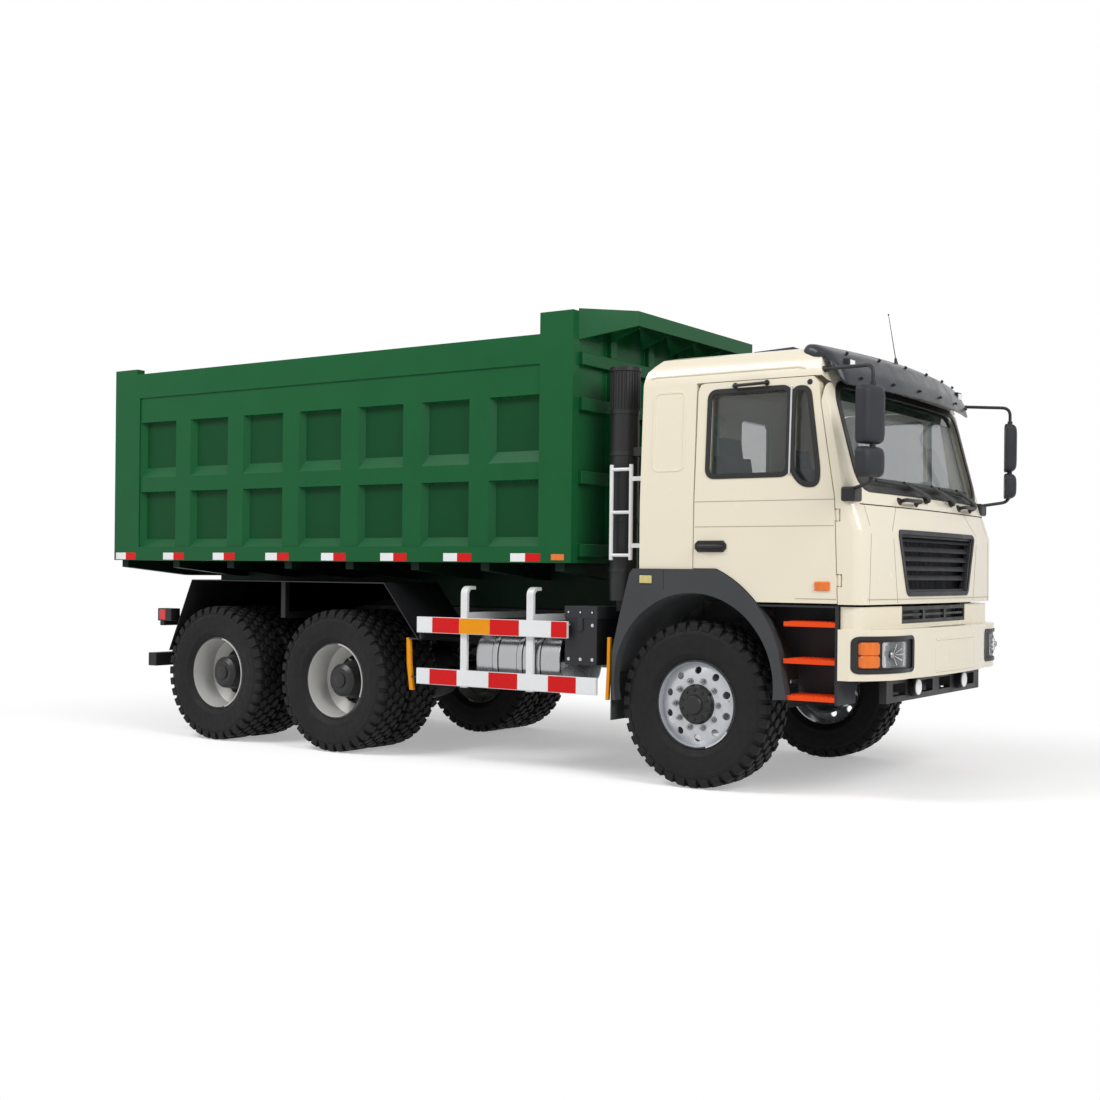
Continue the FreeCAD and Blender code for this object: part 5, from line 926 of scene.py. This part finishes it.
def wipers():
    arms, grabs = Sculpt(), Sculpt()
    for pivot_y, knee_y, *blade in WIPERS:
        pivot = Vector((face_x(pivot_y, PIVOT_Z), pivot_y, PIVOT_Z))
        knee = Vector((face_x(knee_y, KNEE_Z) + 0.045, knee_y, KNEE_Z))
        arms.rod(pivot - Vector((0.01, 0, 0)), (0.044, 0, 0.008), 0.030, 20, 0.022)
        arms.tube([pivot + Vector((0.028, 0, 0.008)), pivot + Vector((0.048, -0.07, 0.022)), knee],
                  0.018, 10, 0.009)
        left, right = (Vector((face_x(y, z) + 0.016, y, z)) for y, z in zip(blade, BLADE_Z))
        arms.tube([left, right], 0.009, 8)
        arms.tube([left + Vector((0.012, 0.05, 0)), (left + right) / 2 + Vector((0.030, 0, 0.004)),
                   right + Vector((0.012, -0.05, 0))], 0.008, 8)
    form("wipers", arms, DARK, "chassis", 0.001)
    out = Vector((0.055, 0, 0.012))
    for ends in FRONT_GRABS:
        a, b = (Vector((face_x(y, FRONT_GRAB_Z) - 0.008, y, FRONT_GRAB_Z)) for y in ends)
        grabs.tube(rounded_path([a, a + out, b + out, b], 0.03), 0.013, 14)
        for end in (a, b):
            grabs.rod(end, (0.020, 0, 0.004), 0.030, 24, 0.022)
    form("front_grabs", grabs, DARK, "chassis", 0.002)


wipers()

# Sun visor and antenna: the visor's front, bow, half length and how far the rounded ends reach in
VISOR_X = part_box("sun_visor")[1][0]
VISOR_BOW, VISOR_HALF, VISOR_END = 5.5, 1.165, 0.070
VISOR_STEPS = 64
VISOR_CLIPS = (-0.95, -0.55, -0.15, 0.25, 0.65, 1.02)
ANTENNA_FOOT = Vector((3.235, -0.110, CAB_Z1 + 0.010))


def visor_x(y, x_centre):
    return x_centre - VISOR_BOW + math.sqrt(VISOR_BOW ** 2 - y ** 2)


def visor_wing():
    """The visor's hollow section, swept along its bow and drawn in to rounded ends."""
    lip_z, root_x, lip_x, top = SEAM_Z - 0.062, FACE_X - 0.400, FACE_X - 0.092, CAB_Z1
    section = rounded_loop([
        (root_x, top - 0.020), (root_x + 0.030, top + 0.016), (root_x + 0.090, top + 0.012),
        (lip_x - 0.110, top - 0.042), (lip_x - 0.024, lip_z + 0.095), (lip_x, lip_z), (lip_x - 0.022, lip_z),
        (lip_x - 0.050, lip_z + 0.085), (lip_x - 0.130, top - 0.085), (root_x, top - 0.075)], 0.030, 4)
    middle = Vector((lip_x - 0.120, top - 0.080))
    rings = []
    for k in range(VISOR_STEPS + 1):
        y = -VISOR_HALF * math.cos(math.pi * k / VISOR_STEPS)
        past = max(0.0, (abs(y) - VISOR_HALF + VISOR_END) / VISOR_END)
        size = max(0.35, math.sqrt(max(0.0, 1 - past ** 2.5)))
        points = [middle + (Vector(point) - middle) * size for point in section]
        rings.append([(FACE_X - VISOR_BOW + math.sqrt((x - FACE_X + VISOR_BOW) ** 2 - y ** 2), y, z)
                      for x, z in points])
    wing = Sculpt().loft(rings)
    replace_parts(form("visor_wing", wing, VISOR, "chassis", angle=50), "sun_visor")


def visor_trim():
    clips, bezels, lenses = Sculpt(), Sculpt(), Sculpt()
    for y in VISOR_CLIPS:
        for x_centre, z in ((VISOR_X - 0.118, CAB_Z1 - 0.040), (VISOR_X - 0.010, SEAM_Z - 0.010)):
            clips.rod((visor_x(y, x_centre), y, z), (0.010, 0, 0.010), 0.011, 14)
    form("visor_clips", clips, DARK, "chassis", 0.002)
    x = visor_x(0.995, VISOR_X - 0.060)
    for side in (-1, 1):
        bezels.slab(side, (x - 0.05, x + 0.012), (0.950, 1.040), (SEAM_Z + 0.052, SEAM_Z + 0.118))
        lenses.slab(side, (x - 0.05, x + 0.017), (0.960, 1.030), (SEAM_Z + 0.062, SEAM_Z + 0.108))
    form("visor_lamp_bezels", bezels, DARK, "chassis", 0.006)
    form("visor_lamps", lenses, CLEAR, "chassis", 0.004)


def antenna():
    base, tip = ANTENNA_FOOT + Vector((-0.006, 0, 0.030)), ANTENNA_FOOT + Vector((-0.060, 0, 0.330))
    mast = Sculpt().tube([ANTENNA_FOOT - Vector((0, 0, 0.02)), base], 0.016, 20, 0.008)
    mast.tube([base, tip], 0.0035, 8, 0.002)
    mast.rod(tip, (-0.002, 0, 0.012), 0.0045, 8)
    form("antenna", mast, DARK, "chassis")


visor_wing()
visor_trim()
antenna()

# Mirrors: middle of a glass, turn outward, and how a case crowns (depth, inset, corner radius)
MIRROR_X, MIRROR_Y = NOSE_X - 0.075, 1.340
MIRROR_TURN = math.radians(20)
MIRROR_HALF = 0.100
MIRROR_CROWN = ((-0.038, 0.010, 0.030), (-0.045, 0.006, 0.034), (-0.041, 0.001, 0.038),
                (-0.030, 0.000, 0.040), (0.000, 0.002, 0.040), (0.022, 0.008, 0.044),
                (0.036, 0.020, 0.050), (0.043, 0.038, 0.050), (0.045, 0.060, 0.040))


def mirror_case(case, glass, side, z0, z1):
    """A crowned housing with round corners and its glass, turned a little outward."""
    turn = Matrix.Rotation(side * MIRROR_TURN, 3, "Z")
    middle = Vector((MIRROR_X, side * MIRROR_Y, (z0 + z1) / 2))

    def outline(x, inset, radius):
        w, h = MIRROR_HALF - inset, (z1 - z0) / 2 - inset
        rim = rounded_loop(rectangle((-w, w), (-h, h)), radius, 5)
        return [middle + turn @ Vector((x, y, z)) for y, z in rim]

    case.loft([outline(*ring) for ring in MIRROR_CROWN])
    glass.loft([outline(x, 0.014, 0.028) for x in (-0.030, -0.042)])


def mirror_set(side, hand):
    case, glass = Sculpt(), Sculpt()
    mirror_case(case, glass, side, BELT_Z + 0.255, SEAM_Z - 0.103)
    mirror_case(case, glass, side, BELT_Z + 0.050, BELT_Z + 0.240)
    y, z0, z1 = side * (MIRROR_Y - 0.020), BELT_Z + 0.025, SEAM_Z + 0.019
    path = [(DOOR_FRONT_X + 0.042, side * 1.180, z0 - 0.040), (MIRROR_X, y, z0), (MIRROR_X, y, z1),
            (DOOR_FRONT_X - 0.190, side * 1.150, z1 + 0.020)]
    arm = Sculpt().tube(rounded_path(path, 0.060, 8), 0.012, 14)
    for z in (BELT_Z + 0.245, SEAM_Z - 0.095):
        arm.rod((MIRROR_X, y, z - 0.012), (0, 0, 0.024), 0.019, 18)
    root = Vector((DOOR_FRONT_X - 0.210, side * 1.152, z1 + 0.018))
    arm.rod(root, (0.100, side * 0.016, 0), 0.027, 20, 0.018)
    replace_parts(form("mirror_case_" + hand, case, PLASTIC, "chassis", angle=40), "mirrors")
    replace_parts(form("mirror_arm_" + hand, arm, DARK, "chassis", angle=50), "mirrors")
    form("mirror_glass_" + hand, glass, MIRROR, "chassis")
    foot = Sculpt().slab(side, (DOOR_FRONT_X + 0.017, DOOR_FRONT_X + 0.112), (1.120, 1.246),
                         (BELT_Z - 0.085, BELT_Z + 0.006))
    form("mirror_foot_" + hand, foot, DARK, "chassis", 0.014, segments=3)


both(mirror_set)

# Lamps
HEADLAMP_Y = (0.700, 1.215)
HEADLAMP_Z = (FRAME_Z0 - 0.034, FRAME_Z0 + 0.176)
HEAD_OUT, TURN_OUT = (0.822, 1.052), (1.080, 1.188)
HEAD_FINS = 5
FOG_Y = 0.440
TAIL_X, TAIL_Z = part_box("lamps")[0][0], (FRAME_Z0 + 0.124, FRAME_Z0 + 0.212)
BUMPER_TREE = surface_tree("front_bumper")


def on_bumper(y, z):
    """The bumper's face, taken just above the head lamps."""
    hit = BUMPER_TREE.ray_cast(Vector((NOSE_X + 1, y, HEADLAMP_Z[1] + 0.020)), Vector((-1, 0, 0)))[0]
    return Vector((hit.x if hit else NOSE_X - 0.3, y, z))


def lamp_block(across, up, depth, lift):
    """A block that follows the bumper, its corners rounded."""
    outline = rounded_loop(rectangle(across, up), 0.018, 4)
    y0, z0, wide, high = across[0], up[0], across[1] - across[0], up[1] - up[0]
    rings = [[on_bumper(y, z) + Vector((x, 0, 0)) for y, z in outline] for x in (-depth, lift - 0.004)]
    rings.append([on_bumper(y0 + (y - y0) * 0.94 + wide * 0.03, z0 + (z - z0) * 0.94 + high * 0.03)
                  + Vector((lift, 0, 0)) for y, z in outline])
    return Sculpt().loft(rings)


def head_lamps(side, hand):
    """Clear lamp inboard, amber outboard, in a dark bezel that follows the bumper."""
    z0, z1 = HEADLAMP_Z
    inner, outer = HEADLAMP_Y
    outline = rounded_loop(rectangle((side * inner, side * outer), HEADLAMP_Z), 0.030)
    bezel = strip(Sculpt(), outline, on_bumper, 0.026, 0.006, 0.03, True)
    form("lamp_bezel_" + hand, bezel, DARK, "chassis", 0.003)
    for name, up in (("upper", (z0 + 0.104, z1 - 0.024)), ("lower", (z0 + 0.024, z0 + 0.102))):
        lens = lamp_block(span(side, *TURN_OUT), up, 0.014, 0.006)
        form("turn_lens_%s_%s" % (name, hand), lens, AMBER, "chassis")
    across, up = span(side, *HEAD_OUT), (z0 + 0.024, z1 - 0.024)
    form("head_back_" + hand, lamp_block(across, up, 0.016, -0.004), BRIGHT, "chassis")
    form("head_cover_" + hand, lamp_block(across, up, -0.002, 0.008), LAMP_COVER, "chassis")
    root = on_bumper(sum(across) / 2, (z0 + z1) / 2) + Vector((0, side * 0.060, 0))
    fins = Sculpt()
    for k in range(HEAD_FINS):
        turn = math.pi * (k - 2) / 5.5
        tip = Vector((0, -side * math.cos(turn) * 0.150, math.sin(turn) * 0.070))
        end = on_bumper(root.y + tip.y, root.z + tip.z) - Vector((0.004, 0, 0))
        fins.tube([root + tip * 0.20, end], 0.0020, 6, 0.0050)
    form("head_fins_" + hand, fins, BRIGHT, "chassis")
    bulb = Sculpt().rod(root - Vector((0.008, 0, 0)), (0.010, 0, 0), 0.024, 28, 0.018)
    form("head_bulb_" + hand, bulb, NUT_STEEL, "chassis", 0.002)


def fog_and_tail(side, hand):
    spot = Vector((NOSE_X - 0.150, side * FOG_Y, BUMPER_Z0 - 0.075))
    fog = Sculpt().rod(spot, (0.045, 0, 0), 0.062, 32, 0.070)
    form("fog_shell_" + hand, fog, DARK, "chassis", 0.004)
    lens = Sculpt().rod(spot + Vector((0.030, 0, 0)), (0.020, 0, 0), 0.060, 32, 0.050)
    form("fog_lens_" + hand, lens, CLEAR, "chassis", 0.004)
    tail = Sculpt().slab(side, (TAIL_X - 0.006, TAIL_X + 0.020), (1.140, 1.225), TAIL_Z)
    tail.slab(side, (TAIL_X + 0.02, TAIL_X + 0.10), (1.225, 1.234), TAIL_Z)
    form("tail_lens_" + hand, tail, RED, "chassis", 0.004)


both(head_lamps)
both(fog_and_tail)

# Bumper, steps and the shields between cab and frame
EMBOSSING_HALF, EMBOSSING_Z = 0.375, (0.812, 1.023)
SHIELD_OUT = (0.440, 0.448)
STEP_GRIPS = ((-0.115, 2.985), (-0.352, 2.985), (-0.585, 2.995))
GRIP_ROWS, GRIP_COLUMNS = 6, 9


def bumper_trim():
    frame_lines, slots = Sculpt(), Sculpt()
    for z in EMBOSSING_Z:
        strip(frame_lines, level(EMBOSSING_HALF, z), on_bumper, 0.018, 0.007)
    for y in (-EMBOSSING_HALF, EMBOSSING_HALF):
        strip(frame_lines, [(y, z) for z in EMBOSSING_Z], on_bumper, 0.010, 0.003)
    form("bumper_embossing", frame_lines, CREAM, "chassis", 0.003, segments=3)
    shelf_z = BUMPER_TREE.ray_cast(Vector((NOSE_X - 0.070, 0.2, CAB_Z1 + 1)), Vector((0, 0, -1)))[0].z
    for side in (-1, 1):
        slots.slab(side, (NOSE_X - 0.082, NOSE_X - 0.058), (0.020, 0.330), (shelf_z - 0.004, shelf_z + 0.001))
    form("shelf_slots", slots, SHUT, "chassis")
    # A dark plate closes the opening behind the valance: painted shade for the space behind it.
    back = Sculpt().box((NOSE_X - 0.330, -0.560, BUMPER_Z0 - 0.150),
                        (NOSE_X - 0.320, 0.560, BUMPER_Z0 + 0.010))
    form("valance_shade_plate", back, DARK, "chassis")


def cab_mount_shield(side, hand):
    shield = Sculpt()
    for x0, x1, z0, z1 in ((CAB_X0 + 0.060, FACE_X - 0.250, FRAME_Z1 - 0.020, CAB_Z0 - 0.003),
                           (CAB_X0 + 0.060, AXLE_1_X + 0.265, CAB_Z0 - 0.010, CAB_Z0 + 0.045),
                           (CAB_X0 - 0.360, CAB_X0 + 0.070, FRAME_Z1 - 0.020, CAB_Z0 + 0.030)):
        shield.slab(side, (x0, x1), SHIELD_OUT, (z0, z1))
    form("cab_mount_shield_" + hand, shield, DARK, "chassis")


def step_grip():
    teeth = Sculpt()
    edge_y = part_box("step_treads")[1][1] - 0.022
    for drop, x0 in STEP_GRIPS:
        for side in (-1, 1):
            for i in range(GRIP_COLUMNS):
                for j in range(GRIP_ROWS):
                    spot = (x0 + i * 0.034, side * (edge_y - j * 0.038), CAB_Z0 + drop - 0.002)
                    teeth.rod(spot, (0, 0, 0.007), 0.0105, 8, 0.0075)
    form("step_grip", teeth, ORANGE, "chassis")


bumper_trim()
both(cab_mount_shield)
step_grip()

# Seats
SEATS_LO, SEATS_HI = map(Vector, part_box("seats"))
SEAT_Y = 0.56


def cushion(name, centre, half, channels, along, tilt):
    """A crowned cushion with sewn channels; its sides draw in between the corners."""
    bm = bmesh.new()
    bmesh.ops.create_cube(bm, size=2)
    bmesh.ops.subdivide_edges(bm, edges=bm.edges, cuts=20, use_grid_fill=True)
    turn = Matrix.Rotation(math.radians(tilt), 3, "Y")
    for vert in bm.verts:
        u, v, w = vert.co
        crown = (1 - u ** 4) * (1 - v ** 4)
        groove = sum(math.exp(-(((u, v)[along] - g) / 0.045) ** 2) for g in channels) * 0.13
        height = w * (0.72 + 0.28 * crown) - groove * max(0.0, w)
        draw = 1 - max(abs(u), abs(v)) ** 6 * 0.10
        draw *= (1 - 0.035 * (1 - min(u ** 2, v ** 2))) * (1 - 0.10 * abs(w) ** 6)
        vert.co = turn @ Vector((u * half[0] * draw, v * half[1] * draw, height * half[2])) + Vector(centre)
    mesh = bpy.data.meshes.new(name)
    bm.to_mesh(mesh)
    bm.free()
    smooth(mesh, 60)
    obj = place(bpy.data.objects.new(name, mesh), FABRIC, "chassis")
    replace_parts(obj, "seats")


def seats(side, hand):
    y = side * SEAT_Y
    x0, z0 = SEATS_LO.x, SEATS_LO.z
    middle_x = (x0 + SEATS_HI.x) / 2 + 0.03
    cushion("seat_base_" + hand, (middle_x, y, z0 + 0.075), (0.245, 0.235, 0.075), (-0.45, 0.0, 0.45), 1, -4)
    cushion("seat_back_" + hand, (x0 + 0.13, y, z0 + 0.40), (0.27, 0.225, 0.070), (-0.5, 0.0, 0.5), 0, 80)
    cushion("seat_head_" + hand, (x0 + 0.075, y, z0 + 0.70), (0.08, 0.14, 0.045), (), 0, 82)


both(seats)

# Camera, ground and light
CAMERA_PLACE = Vector((7.0555, -9.5332, 1.4421))
CAMERA_HEADING = math.radians(33.18)
CAMERA_ROLL = math.radians(0.597)
CAMERA_LENS, CAMERA_SENSOR = 47.17, 36
CAMERA_SHIFT = (-0.0555, 0.0203)


def camera():
    data = bpy.data.cameras.new("camera")
    data.lens, data.sensor_width = CAMERA_LENS, CAMERA_SENSOR
    data.shift_x, data.shift_y = CAMERA_SHIFT
    obj = bpy.data.objects.new("camera", data)
    bpy.context.scene.collection.objects.link(obj)
    right = Vector((math.cos(CAMERA_HEADING), math.sin(CAMERA_HEADING), 0))
    ahead = Vector((-math.sin(CAMERA_HEADING), math.cos(CAMERA_HEADING), 0))
    turn = Matrix((right, (0, 0, 1), -ahead)).transposed().to_4x4()
    obj.matrix_world = Matrix.Translation(CAMERA_PLACE) @ turn @ Matrix.Rotation(CAMERA_ROLL, 4, "Z")
    bpy.context.scene.camera = obj


FLOOR_HALF = 60.0
FLOOR_LIFT = 0.36
SHADOW_HALF = (3.3, 0.9, 0.0)
SHADOW_FADE = (0.4, 3.6)
WHITE_LIGHT = (1.0, 1.0, 1.0, 1.0)
SKY_STRENGTH = 0.33


def ground():
    """A pale floor that turns plain white away from the truck's shadow, as the camera and gloss see it."""
    mesh = bpy.data.meshes.new("floor")
    corners = [(x * FLOOR_HALF, y * FLOOR_HALF, 0) for x, y in ((-1, -1), (1, -1), (1, 1), (-1, 1))]
    mesh.from_pydata(corners, [], [(0, 1, 2, 3)])
    floor = bpy.data.objects.new("floor", mesh)
    bpy.context.scene.collection.objects.link(floor)
    mat, tree, paint = new_material("floor")
    fill(tree, paint, {"Base Color": (0.90, 0.90, 0.90, 1), "Roughness": 0.8, "Specular IOR Level": 0.05})
    from_middle = node(tree, "VectorMath", {0: tree.nodes.new("ShaderNodeTexCoord").outputs["Object"]},
                       operation="ABSOLUTE")
    outside = node(tree, "VectorMath", {0: from_middle, 1: SHADOW_HALF}, operation="SUBTRACT")
    beyond = node(tree, "VectorMath", {0: outside, 1: (0.0001, 0.0, 0.0)}, operation="MAXIMUM")
    distance = node(tree, "VectorMath", {0: beyond}, operation="LENGTH")
    reach = node(tree, "MapRange", {"Value": distance, "From Min": SHADOW_FADE[0],
                                    "From Max": SHADOW_FADE[1]}, interpolation_type="SMOOTHSTEP")
    path = tree.nodes.new("ShaderNodeLightPath").outputs
    seen = node(tree, "Math", {0: path["Is Camera Ray"], 1: path["Is Glossy Ray"]}, operation="MAXIMUM")
    factor = node(tree, "Math", {0: reach, 1: seen}, operation="MULTIPLY")
    lift = node(tree, "Emission", {"Strength": seen, "Color": (FLOOR_LIFT, FLOOR_LIFT, FLOOR_LIFT, 1)})
    lit = node(tree, "AddShader", {0: paint.outputs["BSDF"], 1: lift})
    mixed = node(tree, "MixShader", {"Fac": factor, 1: lit, 2: node(tree, "Emission", {})})
    fill(tree, tree.nodes["Material Output"], {"Surface": mixed})
    mesh.materials.append(mat)


def sky():
    """A soft light from all round, which the camera, gloss and glass see as plain white."""
    world = bpy.data.worlds.new("studio")
    bpy.context.scene.world = world
    world.use_nodes = True
    tree = world.node_tree
    light = tree.nodes["Background"]
    fill(tree, light, {"Color": WHITE_LIGHT, "Strength": SKY_STRENGTH})
    plain = node(tree, "Background", {"Color": WHITE_LIGHT})
    path = tree.nodes.new("ShaderNodeLightPath").outputs
    seen = node(tree, "Math", {0: path["Is Camera Ray"], 1: path["Is Transmission Ray"]}, operation="MAXIMUM")
    seen = node(tree, "Math", {0: seen, 1: path["Is Glossy Ray"]}, operation="MAXIMUM")
    mixed = node(tree, "MixShader", {"Fac": seen, 1: light.outputs["Background"], 2: plain})
    fill(tree, tree.nodes["World Output"], {"Surface": mixed})


def lamp(name, place_at, aim, size, power):
    data = bpy.data.lights.new(name, "AREA")
    data.shape = "RECTANGLE"
    data.size, data.size_y = size
    data.energy = power
    obj = bpy.data.objects.new(name, data)
    bpy.context.scene.collection.objects.link(obj)
    obj.location = place_at
    obj.rotation_euler = (Vector(aim) - Vector(place_at)).to_track_quat("-Z", "Y").to_euler()


camera()
ground()
sky()
lamp("key", (10.5, -4.5, 7.0), (1.5, 0, 1.5), (5.0, 4.0), 560)
lamp("side", (-3.5, -7.5, 9.0), (-0.5, -1.0, 1.5), (5.5, 3.0), 560)
bpy.context.scene.view_settings.view_transform = "Standard"
